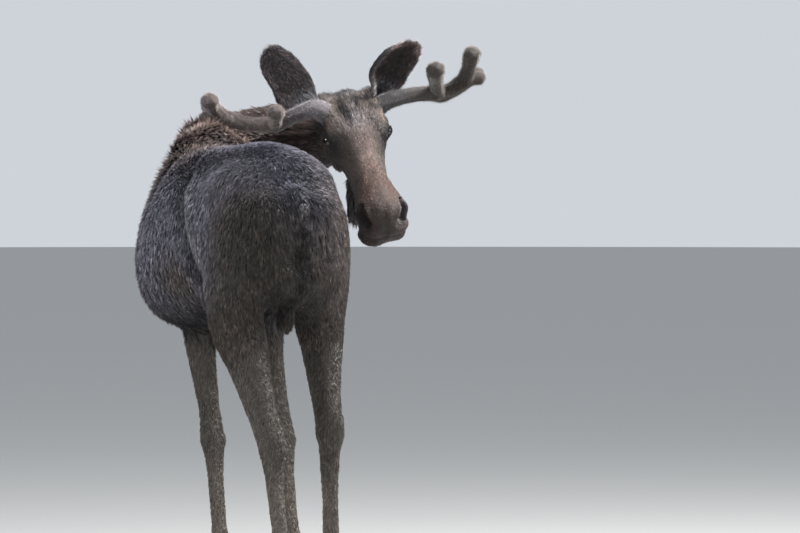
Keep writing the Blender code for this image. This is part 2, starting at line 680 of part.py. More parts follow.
def settle():
    """Moves everything so that the middle of the bounding box's base is the origin."""
    pieces = [thing for thing in bpy.context.scene.objects if thing.type == "MESH"]
    corners = [vert.co for piece in pieces for vert in piece.data.vertices]
    low, high = (Vector([pick(c[i] for c in corners) for i in range(3)]) for pick in (min, max))
    shift = Vector((-(low.x + high.x) / 2, -(low.y + high.y) / 2, -low.z))
    for piece in pieces:
        piece.data.transform(Matrix.Translation(shift))
    return shift


def main():
    clear_scene()
    flesh = make_flesh()
    tool = swollen(flesh)
    feet, eyes = make_feet(), make_eyes()
    for side in SIDES:
        whole, slabs, anchors = antler(side)
        cut(ear(side), [copy_of(tool, "cutter")])
        cut(bpy.data.objects[f"ear_{side}"], [swollen(whole)])
        cut(whole, [copy_of(tool, "cutter")])
        cut(whole, slabs)
        split(whole, anchors, lambda name: "antler")
    bpy.data.objects.remove(tool, do_unlink=True)
    cut(flesh, [swollen(piece) for piece in feet + eyes])
    cut(flesh, flesh_cuts())
    split(flesh, flesh_anchors(), flesh_kind)
    return settle()


SHIFT = main()
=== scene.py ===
"""A young bull moose in velvet, life size, standing and looking back over its right shoulder.

The script follows the animal as a model maker would build it: the hide over the body and the face first,
then the coat's lie, its markings and its hair, and after them the eyes, the ears, the antlers and the hooves.
"""
import math

import bmesh
import bpy
import numpy as np
from mathutils import Matrix, Vector
from mathutils.bvhtree import BVHTree
from mathutils.kdtree import KDTree


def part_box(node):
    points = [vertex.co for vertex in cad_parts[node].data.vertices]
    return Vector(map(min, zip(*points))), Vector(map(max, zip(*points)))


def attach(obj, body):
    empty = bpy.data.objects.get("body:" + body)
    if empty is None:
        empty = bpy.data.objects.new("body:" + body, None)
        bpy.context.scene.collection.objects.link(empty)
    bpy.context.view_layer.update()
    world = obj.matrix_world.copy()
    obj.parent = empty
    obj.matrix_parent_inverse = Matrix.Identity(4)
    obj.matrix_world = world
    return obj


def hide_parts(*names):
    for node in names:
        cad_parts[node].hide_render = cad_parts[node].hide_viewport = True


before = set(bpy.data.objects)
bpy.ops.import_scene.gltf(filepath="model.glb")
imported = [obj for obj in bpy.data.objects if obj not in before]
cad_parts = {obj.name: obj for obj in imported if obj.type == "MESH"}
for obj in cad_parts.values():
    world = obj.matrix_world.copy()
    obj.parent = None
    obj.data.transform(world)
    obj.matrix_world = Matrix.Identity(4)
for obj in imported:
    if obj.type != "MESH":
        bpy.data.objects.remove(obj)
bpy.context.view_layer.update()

# ---- The head's place ----
# The head hangs from a neck that swings right and back. Its own frame has the origin midway between
# the eyes, +X to the animal's right, +Y to the nose and +Z out of the forehead.
HEADING, DROOP, TILT = 176.7, 40.5, 11.8


def middle(part):
    low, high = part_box(part)
    return (low + high) / 2


def turned(degrees, axis):
    return Matrix.Rotation(math.radians(degrees), 4, axis)


HEAD_TURN = turned(HEADING, "Z") @ turned(-DROOP, "X") @ turned(TILT, "Y")
EYE_OFFSET = Vector((0, 0.006, 0.002))
EYES = {-1: middle("eye_left"), 1: middle("eye_right")}
HEAD = Matrix.Translation((EYES[-1] + EYES[1]) / 2) @ HEAD_TURN @ Matrix.Translation(-EYE_OFFSET)


def on_head(x, y, z):
    return HEAD @ Vector((x, y, z))


def along_head(x, y, z):
    return (HEAD_TURN @ Vector((x, y, z, 0))).to_3d()


def inside(part, x, y, z):
    """The point at those shares of a part's box."""
    low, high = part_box(part)
    return Vector(low[i] + share * (high[i] - low[i]) for i, share in enumerate((x, y, z)))


# ---- The hide ----
# One skin runs from the nose to the tops of the hooves with no seam. It lies under the tips of the fur
# by the coat's depth, and shows the spine, hips, haunches, tendons and folds.
HIDE_GRAIN = 0.0105
HOOVES = [name for name in sorted(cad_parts) if "hoof" in name]
DEWCLAWS = [name for name in sorted(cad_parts) if "dewclaw" in name]
FLESH = [name for name in sorted(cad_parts)
         if name not in HOOVES + DEWCLAWS and not name.startswith(("antler", "ear", "eye"))]


def placed(name, data):
    """A new thing in the scene."""
    thing = bpy.data.objects.new(name, data)
    bpy.context.scene.collection.objects.link(thing)
    return thing


def cast(bm, name):
    """A new piece from a bmesh."""
    mesh = bpy.data.meshes.new(name)
    bm.to_mesh(mesh)
    bm.free()
    return placed(name, mesh)


def gathered(parts, name, balls=()):
    """One new piece from copies of the named parts and from balls, each a place and a radius."""
    bm = bmesh.new()
    for part in parts:
        bm.from_mesh(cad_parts[part].data)
    bmesh.ops.remove_doubles(bm, verts=bm.verts, dist=1e-5)
    for place, radius in balls:
        spot = Matrix.Translation(place)
        bmesh.ops.create_uvsphere(bm, u_segments=24, v_segments=16, radius=radius, matrix=spot)
    return cast(bm, name)


def worked(piece, kind, **settings):
    """The piece after one modifier is made real."""
    change = piece.modifiers.new(kind, kind)
    for key, value in settings.items():
        setattr(change, key, value)
    graph = bpy.context.evaluated_depsgraph_get()
    old = piece.data
    piece.data = bpy.data.meshes.new_from_object(piece.evaluated_get(graph))
    piece.modifiers.clear()
    bpy.data.meshes.remove(old)
    piece.data.name = piece.name
    return piece


def skinned(parts, name, grain, swell=0.0012, balls=()):
    """The parts and balls, melted into one closed skin of even squares."""
    piece = gathered(parts, name, balls)
    worked(piece, "DISPLACE", strength=swell, mid_level=0)
    return worked(piece, "REMESH", mode="VOXEL", voxel_size=grain, adaptivity=0)


def finer(piece, places):
    """Halves the squares of a skin round each place."""
    bm = bmesh.new()
    bm.from_mesh(piece.data)
    for place, reach in places:
        near = [edge for edge in bm.edges if (edge.verts[0].co - place).length < reach]
        bmesh.ops.subdivide_edges(bm, edges=near, cuts=1, use_grid_fill=True)
    bm.to_mesh(piece.data)
    bm.free()


def sizes(rows):
    """How long each row is."""
    return np.linalg.norm(rows, axis=-1)


def unit(rows):
    return rows / np.maximum(sizes(rows), 1e-9)[..., None]


def step(low, high, values):
    """0 below low, 1 above high and an even curve between them."""
    share = np.clip((values - low) / (high - low), 0, 1)
    return share * share * (3 - 2 * share)


class Pelt:
    """A skin's corners as arrays: where they are, what they touch and which way they face."""

    def __init__(self, piece):
        self.piece = piece
        mesh = piece.data
        self.points = np.empty((len(mesh.vertices), 3))
        mesh.vertices.foreach_get("co", self.points.ravel())
        self.edges = np.empty((len(mesh.edges), 2), int)
        mesh.edges.foreach_get("vertices", self.edges.ravel())
        mesh.calc_loop_triangles()
        self.triangles = np.empty((len(mesh.loop_triangles), 3), int)
        mesh.loop_triangles.foreach_get("vertices", self.triangles.ravel())
        self.touching = np.maximum(np.bincount(self.edges.ravel(), minlength=len(self.points)), 1)[:, None]
        self.settle()

    def settle(self):
        """Writes the points back to the piece and reads its normals again."""
        mesh = self.piece.data
        mesh.vertices.foreach_set("co", self.points.ravel())
        mesh.update()
        self.normals = np.empty((len(self.points), 3))
        mesh.vertex_normals.foreach_get("vector", self.normals.ravel())

    def evened(self, values, rounds, share=0.5):
        """Values at the corners, drawn towards the average of their neighbours."""
        a, b = self.edges.T
        for _ in range(rounds):
            total = [np.bincount(a, column[b], len(column)) + np.bincount(b, column[a], len(column))
                     for column in values.T]
            values = values + share * (np.stack(total, axis=1) / self.touching - values)
        return values

    def smooth(self, rounds, share):
        """Irons the skin without shrinking it."""
        for _ in range(rounds):
            self.points = self.evened(self.points, 1, share)
            self.points = self.evened(self.points, 1, share * -1.03)
        self.settle()

    def near(self, place, reach, turn=None):
        """1 at a place, falling softly to 0 past its reach. A turned frame gives its own axes."""
        gap = self.points - np.array(place)
        if turn is not None:
            gap = gap @ np.array(turn.to_3x3())
        return np.exp(-((gap / np.array(reach)) ** 2).sum(axis=1))

    def along(self, path, reach):
        """1 on a line through the places, falling softly to 0 past its reach."""
        best = np.full(len(self.points), 9.0)
        for a, b in zip(path, path[1:]):
            a, b = np.array(a), np.array(b)
            share = np.clip((self.points - a) @ (b - a) / ((b - a) @ (b - a)), 0, 1)
            best = np.minimum(best, sizes(self.points - a - share[:, None] * (b - a)))
        return np.exp(-(best / reach) ** 2)

    def raised(self, shares, height):
        """Raises the skin by a height, in shares. A negative height sinks it."""
        self.points = self.points + self.normals * (height * shares)[:, None]


hide = skinned(FLESH + ["eye_left", "eye_right"], "hide", HIDE_GRAIN)
finer(hide, [(on_head(0, 0.17, -0.03), 0.27), (on_head(0, 0.4, -0.05), 0.09),
             (EYES[-1], 0.046), (EYES[1], 0.046), (EYES[-1], 0.034), (EYES[1], 0.034)])
pelt = Pelt(hide)

# which part each corner of the hide covers
corners, faces, owners = [], [], []
for part in FLESH:
    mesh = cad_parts[part].data
    mesh.calc_loop_triangles()
    faces += [[len(corners) + index for index in face.vertices] for face in mesh.loop_triangles]
    owners += [part] * len(mesh.loop_triangles)
    corners += [vert.co for vert in mesh.vertices]
body = BVHTree.FromPolygons(corners, faces)
owner = np.array([owners[body.find_nearest(point)[2]] for point in pelt.points.tolist()])

# the skin is ironed more on the trunk than where a part is slim
SOFTNESS = {"head": 0.22, "bell": 0.15, "tail": 0.15, "gaskin": 0.35, "cannon": 0.22, "pastern": 0.15,
            "forearm": 0.3}
ironing = np.full((len(owner), 1), 0.5)
for word, value in SOFTNESS.items():
    ironing[np.char.find(owner, word) >= 0] = value
pelt.smooth(45, pelt.evened(ironing, 20))
TAIL_CLOSER = (0, 0.02, 0)
pelt.points[owner == "tail"] += TAIL_CLOSER
TRUNK_TALL = 0.763
height = (pelt.points[:, 2] - inside("trunk", 0, 0, 0).z) / TRUNK_TALL
croup = (owner == "trunk") * step(0.35, 0.55, height)
croup *= 1 - pelt.near(middle("tail"), 0.06)
croup = pelt.evened(croup[:, None] * 0.5, 15)
pelt.points = pelt.evened(pelt.points, 60, croup)
pelt.settle()

# ---- Muscle, bone and folds under the hide ----
# A summer moose is lean behind: the hip bones, the seam of the flank, the cleft below the tail and the
# tendons above the hocks all show. Loose skin folds on the inside of the turned neck.
SPINE_BENDS_FROM, SPINE_BENDS_TO = inside("trunk", 0, 0.2, 0).y, middle("fore_left_forearm").y
SHOULDERS_X = (middle("fore_left_forearm").x + middle("fore_right_forearm").x) / 2


def met(start, way):
    return body.ray_cast(Vector(start), Vector(way))[0]


def flank(side, along, height):
    """A place on the trunk's left (-1) or right (1) side, at shares of its length and height."""
    return met((side * 2, *inside("trunk", 0, along, height).yz), (-side, 0, 0))


def back(offset, along):
    """A place on the back, that far to the right of the spine."""
    y = inside("trunk", 0, along, 0).y
    bend = float(step(SPINE_BENDS_FROM, SPINE_BENDS_TO, y))
    return met((middle("tail").x + bend * (SHOULDERS_X - middle("tail").x) + offset, y, 4), (0, 0, -1))


def rump(offset, height):
    """A place on the rump as seen from behind, that far to the right of the tail."""
    return met((middle("tail").x + offset, -3, inside("trunk", 0, 0, height).z), (0, 1, 0))


def limb(part, height, side, ahead):
    """A place on the side of a leg, that far ahead of its rear edge."""
    x, z = middle(part).x, inside(part, 0, 0, height).z
    rear = met((x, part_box(part)[0].y - 0.02, z), (0, 1, 0))
    return met((x + side * 0.12, rear.y + ahead, z), (-side, 0, 0)) if side else rear


FLANK_SEAM = [(0.51, 0.84), (0.45, 0.75), (0.42, 0.66), (0.38, 0.57), (0.35, 0.48), (0.32, 0.4),
              (0.29, 0.32), (0.25, 0.25)]
THIGH_EDGE = [(0.4, 0.7), (0.34, 0.57), (0.29, 0.48), (0.25, 0.37), (0.21, 0.28)]
BEHIND_SHOULDER = [(0.655, 0.8), (0.655, 0.6), (0.655, 0.4), (0.655, 0.25)]
SHOULDER_BLADE = [(0.74, 0.92), (0.8, 0.65), (0.84, 0.45)]
RIB = [(0, 0.72), (-0.01, 0.5), (-0.03, 0.3)]


def swelled(place, reach, height, turn=None):
    """Raises a soft swelling, or sinks a hollow where the height is negative."""
    pelt.raised(pelt.near(place, reach, turn), height)


def ridged(path, reach, height):
    """Raises a soft ridge along a path, or sinks a groove where the height is negative."""
    pelt.raised(pelt.along(path, reach), height)


seams, edges = {}, {}
for side in (-1, 1):
    seams[side] = [flank(side, *spot) for spot in FLANK_SEAM]
    edges[side] = [flank(side, *spot) for spot in THIGH_EDGE]
    ridged(seams[side], 0.04, -0.022)
    ridged(edges[side], 0.045, 0.01)
    swelled(flank(side, 0.46, 0.86), 0.06, 0.007)  # hook bone
    swelled(flank(side, 0.3, 0.78), (0.12, 0.12, 0.07), -0.006)  # hollow behind it
    swelled(rump(side * 0.085, 0.66), 0.05, 0.005)  # pin bone
    swelled(rump(side * 0.05, 0.72), (0.025, 0.06, 0.07), -0.006)  # hollow by the tail head
    ridged([flank(side, *spot) for spot in BEHIND_SHOULDER], 0.04, -0.012)
    ridged([flank(side, *spot) for spot in SHOULDER_BLADE], 0.03, 0.008)
    swelled(flank(side, 0.86, 0.4), 0.06, 0.01)  # point of the shoulder
    for rib in range(8):
        line = [flank(side, 0.44 + 0.025 * rib + ahead, height) for ahead, height in RIB]
        ridged(line, 0.01, -0.0022)
swelled(flank(1, 0.28, 0.84), (0.11, 0.28, 0.1), 0.034)  # weight on the right hip
pelt.settle()
ridged([back(0, along) for along in (0.04, 0.2, 0.4, 0.6)], 0.03, 0.004)
ridged([rump(0, height) for height in (0.52, 0.44, 0.34, 0.27)], 0.024, -0.026)
pelt.settle()


def grooved(part, heights, side, ahead, reach, depth):
    """A groove down the side of a leg, as between a tendon and the bone."""
    ridged([limb(part, height, side, ahead) for height in heights], reach, -depth)


for leg in ("hind_left", "hind_right"):
    shank, bone = leg + "_gaskin", leg + "_cannon"
    for side in (-1, 1):
        grooved(shank, (0.9, 0.75, 0.6, 0.46), side, 0.032, 0.014, 0.011)
        swelled(limb(shank, 0.27, side, 0.05), 0.026, 0.006)
        grooved(bone, (0.95, 0.6, 0.3), side, 0.024, 0.009, 0.005)
        swelled(limb(bone, 0.08, side, 0.03), 0.022, 0.004)
    swelled(limb(shank, 0.36, 0, 0), 0.024, 0.007)
    hamstring = [inside(leg + "_thigh", 0.15, *share) for share in ((0.3, 0.95), (0.22, 0.6), (0.12, 0.3))]
    ridged(hamstring, 0.024, -0.007)
for leg in ("fore_left", "fore_right"):
    arm, bone = leg + "_forearm", leg + "_cannon"
    for side in (-1, 1):
        swelled(limb(arm, 0.19, side, 0.035), 0.026, 0.005)
        grooved(bone, (0.9, 0.6, 0.3), side, 0.022, 0.009, 0.005)
        swelled(limb(bone, 0.08, side, 0.028), 0.02, 0.004)
        grooved(arm, (0.9, 0.6, 0.35), side, 0.05, 0.016, 0.005)
    swelled(inside(arm, 0.5, 0.05, 0.24), 0.026, 0.008)
    swelled(inside(arm, 0.5, 0.75, 0.18), 0.03, 0.006)
for fold in range(3):
    low = inside("neck_lower", 0.95, 0.12 + 0.1 * fold, 0.2)
    high = inside("neck_upper", 0.25 + 0.16 * fold, 0.05, 0.75)
    ridged([low, high], 0.018, -0.009)
pelt.settle()
for claw in DEWCLAWS:
    swelled(middle(claw), 0.03, 0.014)  # fetlock that carries it
pelt.settle()

# ---- The face ----
# Long and heavy: heavy brows under the antlers, a ridge of hair on the forehead, a narrow bridge, and
# a deep muzzle with comma-shaped nostrils and an upper lip that hangs over the lower one.
NOSTRIL = [(0.084, 0.384, 0.014), (0.081, 0.405, -0.008), (0.068, 0.43, -0.032)]
MOUTH = [(0.088, 0.29, -0.108), (0.09, 0.34, -0.116), (0.074, 0.392, -0.108), (0.038, 0.426, -0.099),
         (0, 0.438, -0.096)]
FACE_FORMS = [
    ([(0.112, -0.034, 0.03), (0.106, 0.006, 0.042), (0.088, 0.042, 0.032)], 0.015, 0.008),  # brow
    ([(0.092, -0.062, 0.078)], 0.03, 0.008),  # antler's foot
    ([(0.1, -0.052, 0.01)], 0.026, -0.007),  # temple
    ([(0.078, 0.11, 0.01)], (0.03, 0.055, 0.03), -0.009),  # below the eye
    ([(0.098, 0.045, -0.04), (0.084, 0.12, -0.055), (0.076, 0.21, -0.06)], 0.016, 0.006),  # cheek bone
    ([(0.095, -0.03, -0.085)], (0.03, 0.055, 0.045), 0.008),  # jaw muscle
    ([(0.08, 0.25, -0.1)], (0.03, 0.06, 0.03), -0.007),  # hollow cheek
    ([(0.04, 0.06, 0.075), (0.034, 0.18, 0.055), (0.046, 0.3, 0.05)], 0.014, 0.003),  # nose bone
    ([(0.078, 0.35, 0.015)], (0.025, 0.035, 0.03), 0.006),  # above a nostril
]
LIP_FORMS = [
    ([(0.094, 0.375, 0.012), (0.092, 0.402, -0.03), (0.078, 0.428, -0.052)], 0.011, 0.007),  # nostril's wing
    ([(0.06, 0.405, 0.016), (0.052, 0.432, -0.018)], 0.01, 0.004),  # its inner rim
    ([(0.05, 0.43, -0.076)], (0.032, 0.03, 0.018), 0.008),  # upper lip
    ([(0.045, 0.405, -0.128)], (0.034, 0.03, 0.02), 0.008),  # lower lip
]
LONE_FORMS = [
    ([(0.052, -0.045, 0.095)], (0.02, 0.04, 0.03), -0.005),  # by the ridge
    ([(-0.018, -0.045, 0.1)], (0.016, 0.04, 0.03), -0.005),
    ([(0.028, 0.415, -0.132)], (0.034, 0.034, 0.022), 0.012),  # full lower lip
    ([(-0.078, 0.398, -0.086)], (0.03, 0.03, 0.026), 0.014),  # lip's left corner
    ([(0, 0.365, -0.19)], (0.04, 0.04, 0.03), 0.006),  # chin
]


def formed(forms, side):
    """Raises or sinks each form on that side of the face."""
    for places, reach, height in forms:
        path = [on_head(side * x, y, z) for x, y, z in places]
        shares = pelt.along(path, reach) if len(path) > 1 else pelt.near(path[0], reach, HEAD_TURN)
        pelt.raised(shares, height)


for side in (-1, 1):
    formed(FACE_FORMS, side)
    pelt.settle()
    formed(LIP_FORMS, side)
    pelt.settle()
    opened = pelt.along([on_head(side * x, y, z) for x, y, z in NOSTRIL], 0.0115)
    pelt.points = pelt.points + np.outer(opened, along_head(-side * 0.026, -0.022, 0.002))
    for crinkle in range(3):
        bow, out = 0.032 + 0.009 * crinkle, 0.11 - 0.004 * crinkle
        line = [on_head(side * out, 0.006 + bow * math.sin(turn), 0.01 + bow * math.cos(turn))
                for turn in (-0.7, 0, 0.7)]
        ridged(line, 0.0035, -0.0016)
mouth_line = [on_head(-x, y, z) for x, y, z in MOUTH] + [on_head(*spot) for spot in MOUTH[-2::-1]]
ridged(mouth_line, 0.0075, -0.013)
swelled(on_head(0, 0.432, -0.05), (0.012, 0.03, 0.06), -0.006, HEAD_TURN)
FOREHEAD_RIDGE = [on_head(0.022, -0.1, 0.1), on_head(0.018, -0.05, 0.104), on_head(0.012, 0.0, 0.094)]
ridged(FOREHEAD_RIDGE, 0.017, 0.011)
formed(LONE_FORMS, 1)
pelt.settle()

# the lids: skin lies over the ball of the eye and parts in an almond, with its front corner low; angles
# from the gaze are in degrees
EYE_ROUND, LID = 0.0215, 0.0034
EYE_WIDE, UPPER_LID, LOWER_LID = 60, 37, 29


def looking(side):
    """The way an eye looks, and the ways along its opening and up from it."""
    gaze = along_head(side, 1.15, 0.35).normalized()
    length = along_head(0, 1, -0.22)
    length = (length - gaze * length.dot(gaze)).normalized()
    height = gaze.cross(length)
    return gaze, length, height * math.copysign(1, height.dot(along_head(0, 0, 1)))


opening = np.full(len(pelt.points), -90.0)
for side, eye in EYES.items():
    gaze, length, height = (np.array(way) for way in looking(side))
    gap = pelt.points - np.array(eye)
    far = sizes(gap)
    way = unit(gap)
    front = way @ gaze
    across, above = np.degrees(np.arctan2(way @ length, front)), np.degrees(np.arctan2(way @ height, front))
    bow = np.clip(1 - (across / EYE_WIDE) ** 2, 0, None)
    inside_lids = np.minimum(UPPER_LID * bow - above, above + LOWER_LID * bow) * (front > 0.2)
    near_eye = (far < EYE_ROUND * 1.9) & (front > 0.1)
    opening = np.where(near_eye, np.maximum(opening, inside_lids), opening)
    lid = EYE_ROUND + LID + 0.0018 * np.exp(-((inside_lids + 7) / 6) ** 2)
    wrap = step(0.15, 0.55, front)
    outside = np.maximum(far, lid) * wrap + far * (1 - wrap)
    drawn = step(-3.0, 3.0, inside_lids)
    new = outside * (1 - drawn) + (EYE_ROUND - 0.003) * drawn
    pelt.points = np.where(near_eye[:, None], np.array(eye) + way * new[:, None], pelt.points)
pelt.settle()

# ---- How the coat lies ----
# Each row says where, which way the hair points, its length, width and lift in degrees, how deep the
# coat is and its colour. On the head, places and ways are in the head's own frame.
STEEL = (0.068, 0.063, 0.078)
SLATE = (0.1, 0.094, 0.11)
# SKY_SHEEN, on the left flank and shoulder, makes the coat paler and bluer than on the right: a painted sky
# sheen on the lit side.
SKY_SHEEN = (0.12, 0.116, 0.14)
OLIVE = (0.054, 0.042, 0.033)
BROWN = (0.068, 0.05, 0.042)
RUST = (0.108, 0.072, 0.062)
# DARK goes on the undersides of the belly, bell, neck and jaw, where it is partly painted shade, and round
# the eyes.
DARK = (0.026, 0.022, 0.022)
CROWN = (0.125, 0.108, 0.106)
HAM = (0.13, 0.107, 0.1)
TAN = (0.15, 0.126, 0.106)
SHANK = (0.095, 0.082, 0.068)
FACE = (0.11, 0.085, 0.075)
MIDST = (0.5, 0.5, 0.5)
LIE = {
    "trunk": [
        ((0.4, 0, 0.7), (0.2, -0.3, -1), 0.03, 0.004, 14, 0.011, SLATE),
        ((0.2, 0.08, 0.6), (0.5, -0.4, -1), 0.03, 0.004, 14, 0.011, OLIVE),
        ((0.65, 0.1, 0.6), (0.4, -0.4, -1), 0.03, 0.004, 14, 0.011, HAM),
        ((0.4, 0.12, 0.95), (0, -1, -0.5), 0.034, 0.0042, 13, 0.012, STEEL),
        ((0.12, 0.12, 0.85), (-0.7, -0.7, -0.7), 0.034, 0.0042, 13, 0.012, SLATE),
        ((0.7, 0.12, 0.85), (0.7, -0.7, -0.7), 0.034, 0.0042, 13, 0.012, SLATE),
        ((0.4, 0.45, 0.95), (0, -1, -0.1), 0.036, 0.0043, 15, 0.014, STEEL),
        ((0.05, 0.35, 0.6), (-0.2, -0.8, -0.8), 0.036, 0.004, 14, 0.013, SKY_SHEEN),
        ((0.8, 0.35, 0.6), (0.2, -0.8, -0.8), 0.036, 0.004, 14, 0.013, SLATE),
        ((0.45, 0.35, 0.05), (0, -1, -0.1), 0.042, 0.0038, 14, 0.014, DARK),
        ((0.1, 0.6, 0.55), (0, -0.9, -0.6), 0.036, 0.0043, 15, 0.013, SKY_SHEEN),
        ((0.9, 0.6, 0.55), (0, -0.9, -0.6), 0.036, 0.0043, 15, 0.013, STEEL),
        ((0.55, 0.65, 0.02), (0, -1, -0.2), 0.05, 0.004, 16, 0.016, DARK),
        ((0.45, 0.64, 1), (0, -1, 0.1), 0.045, 0.0048, 20, 0.017, BROWN),
        ((0.5, 0.82, 1), (0, -0.8, 0.5), 0.085, 0.004, 32, 0.028, RUST),
        ((0.3, 0.8, 0.75), (0, -0.8, -0.5), 0.046, 0.004, 18, 0.016, BROWN),
        ((0.6, 0.95, 0.3), (0, -0.2, -1), 0.055, 0.004, 18, 0.016, BROWN),
        ((0.4, 0, 0.25), (0, -0.2, -1), 0.026, 0.004, 13, 0.009, OLIVE),
    ],
    "thigh": [(MIDST, (0.2, -0.35, -1), 0.026, 0.0038, 13, 0.008, OLIVE)],
    "gaskin": [(MIDST, (0, -0.15, -1), 0.018, 0.0032, 13, 0.006, SHANK)],
    "forearm": [(MIDST, (0, -0.1, -1), 0.02, 0.0034, 13, 0.006, SHANK)],
    "cannon": [(MIDST, (0, -0.05, -1), 0.017, 0.003, 11, 0.0038, TAN)],
    "pastern": [(MIDST, (0, 0.25, -1), 0.017, 0.003, 13, 0.004, SHANK)],
    "tail": [(MIDST, (0, 0.15, -1), 0.036, 0.004, 14, 0.008, BROWN)],
    "bell": [(MIDST, (0, -0.05, -1), 0.06, 0.0042, 16, 0.01, DARK)],
    "neck_lower": [
        ((0.35, 0.45, 1), (-0.6, -0.6, 0.6), 0.08, 0.004, 30, 0.026, RUST),
        ((0.5, 0.95, 0.6), (-0.8, -0.2, -0.6), 0.052, 0.005, 20, 0.018, BROWN),
        ((0.6, 0.6, 0.1), (-0.5, -0.1, -1), 0.05, 0.0048, 18, 0.016, DARK),
        ((0.8, 0.2, 0.5), (-0.8, 0.3, -0.8), 0.04, 0.0046, 16, 0.013, BROWN),
    ],
    "neck_upper": [
        ((0.5, 0.4, 1), (-0.9, 0.3, 0.5), 0.06, 0.004, 28, 0.022, RUST),
        ((0.5, 0.95, 0.5), (-1, 0.2, -0.4), 0.046, 0.0046, 18, 0.015, BROWN),
        ((0.6, 0.4, 0.05), (-0.8, 0.2, -0.8), 0.044, 0.0046, 18, 0.014, DARK),
    ],
    "head": [
        ((0, 0.42, 0), (0, -1, 0.2), 0.006, 0.0017, 12, 0.0014, BROWN),
        ((0, 0.33, 0.05), (0, -1, 0.1), 0.009, 0.002, 11, 0.0022, FACE),
        ((0, 0.2, 0.06), (0, -1, 0.1), 0.012, 0.0022, 11, 0.0028, TAN),
        ((0, 0.08, 0.08), (0, -1, 0.1), 0.016, 0.0025, 13, 0.0034, FACE),
        ((0, -0.03, 0.1), (0, -1, 0.3), 0.022, 0.0028, 24, 0.006, CROWN),
        ((0, -0.14, 0.08), (0, -1, 0.1), 0.026, 0.003, 18, 0.008, CROWN),
        ((0.08, 0.2, -0.05), (0.1, -1, -0.3), 0.014, 0.0023, 11, 0.003, FACE),
        ((0.105, 0.01, 0), (0.1, -1, 0.1), 0.007, 0.0015, 12, 0.0011, DARK),
        ((0.09, 0, -0.09), (0.1, -1, -0.4), 0.018, 0.0027, 12, 0.004, BROWN),
        ((0.08, 0.36, -0.1), (0.1, -1, -0.5), 0.009, 0.002, 11, 0.002, BROWN),
        ((0, 0.3, -0.19), (0, -1, -0.3), 0.014, 0.0022, 16, 0.0035, DARK),
        ((0, 0.05, -0.15), (0, -1, -0.2), 0.028, 0.003, 14, 0.007, DARK),
        ((0.09, -0.1, -0.06), (0.3, -1, -0.4), 0.022, 0.0028, 14, 0.006, BROWN),
    ],
}
WAY, LENGTH, WIDTH, LIFT, DEPTH, COLOUR = slice(0, 3), 3, 4, 5, 6, slice(7, 10)


def lie_of(part):
    """The rows of the table for a part, in the model's frame. The head's are mirrored to its left."""
    rows = next(rows for word, rows in LIE.items() if word in part)
    found = []
    for place, way, *coat, colour in rows:
        spots = [(inside(part, *place), way)]
        if part == "head":
            sides = (-1, 1) if place[0] > 0 else (1,)
            spots = [(on_head(side * place[0], *place[1:]), along_head(side * way[0], *way[1:]))
                     for side in sides]
        found += [(*spot, *Vector(lies).normalized(), *coat, *colour) for spot, lies in spots]
    return np.array(found)


field = np.empty((len(pelt.points), 10))
for part in FLESH:
    mine, rows = owner == part, lie_of(part)
    away = sizes(pelt.points[mine][:, None] - rows[None, :, :3])
    weight = 1 / (away ** 2 + 0.0004) ** 2
    field[mine] = (weight / weight.sum(axis=1, keepdims=True)) @ rows[:, 3:]
field = pelt.evened(field, 60)
field[:, WAY] += np.outer(2.5 * step(0.15, 0.8, -pelt.normals[:, 1]) * (owner == "trunk"), (0, 0, -1))
for claw in HOOVES:
    coronet = pelt.near(inside(claw, 0.5, 0.5, 1.0) + Vector((0, -0.012, 0)), 0.045)
    field[:, LENGTH] += 0.012 * coronet
    field[:, LIFT] += 16 * coronet
for claw in DEWCLAWS:
    field[:, LENGTH] += 0.008 * pelt.near(middle(claw), 0.035)
for _ in range(3):
    flat = field[:, WAY] - pelt.normals * (field[:, WAY] * pelt.normals).sum(axis=1, keepdims=True)
    field[:, WAY] = pelt.evened(unit(flat), 20)

# ---- Markings ----
# The same colours go on the hide and the coat: olive thighs, tan brows and a pale bridge to a rust muzzle,
# with light and shade painted in: a bluish grey over the back and flanks that is partly painted sky sheen,
# painted shade in the flank's seam, below the tail, between the hind legs, in the nostrils and mouth and down
# the cheeks, and painted highlights on the edge of the thigh and the forehead ridge.
# Paints a colour over the field's own: real markings, and also painted light and shade.
def dye_or_painted_light(shares, colour, strength):
    field[:, COLOUR] += (np.array(colour) - field[:, COLOUR]) * np.clip(shares * strength, 0, 1)[:, None]


def mark(place, reach, colour, strength, sides=(-1, 1)):
    for side in sides:
        dye_or_painted_light(pelt.near(on_head(side * place[0], place[1], place[2]), reach, HEAD_TURN), colour, strength)


for side in (-1, 1):
    dye_or_painted_light(pelt.near(flank(side, 0.42, 0.3), (0.1, 0.14, 0.08)), (0.075, 0.056, 0.036), 0.7)
    # painted shade in the sunk seam of the flank
    dye_or_painted_light(pelt.along(seams[side], 0.042), (0.024, 0.024, 0.03), 0.85)
    # a painted highlight along the raised edge of the thigh
    dye_or_painted_light(pelt.along(edges[side], 0.034), (0.175, 0.168, 0.18), 0.7)
# the back along the spine, darker and bluer: partly its own colour, partly a painted sky sheen
dye_or_painted_light(pelt.along([back(0, along) for along in (0.05, 0.25, 0.45, 0.6)], 0.1), (0.054, 0.056, 0.08), 0.75)
# painted shade in the cleft below the tail
dye_or_painted_light(pelt.along([rump(0, height) for height in (0.6, 0.52, 0.42, 0.3)], 0.034), (0.022, 0.02, 0.024), 0.85)
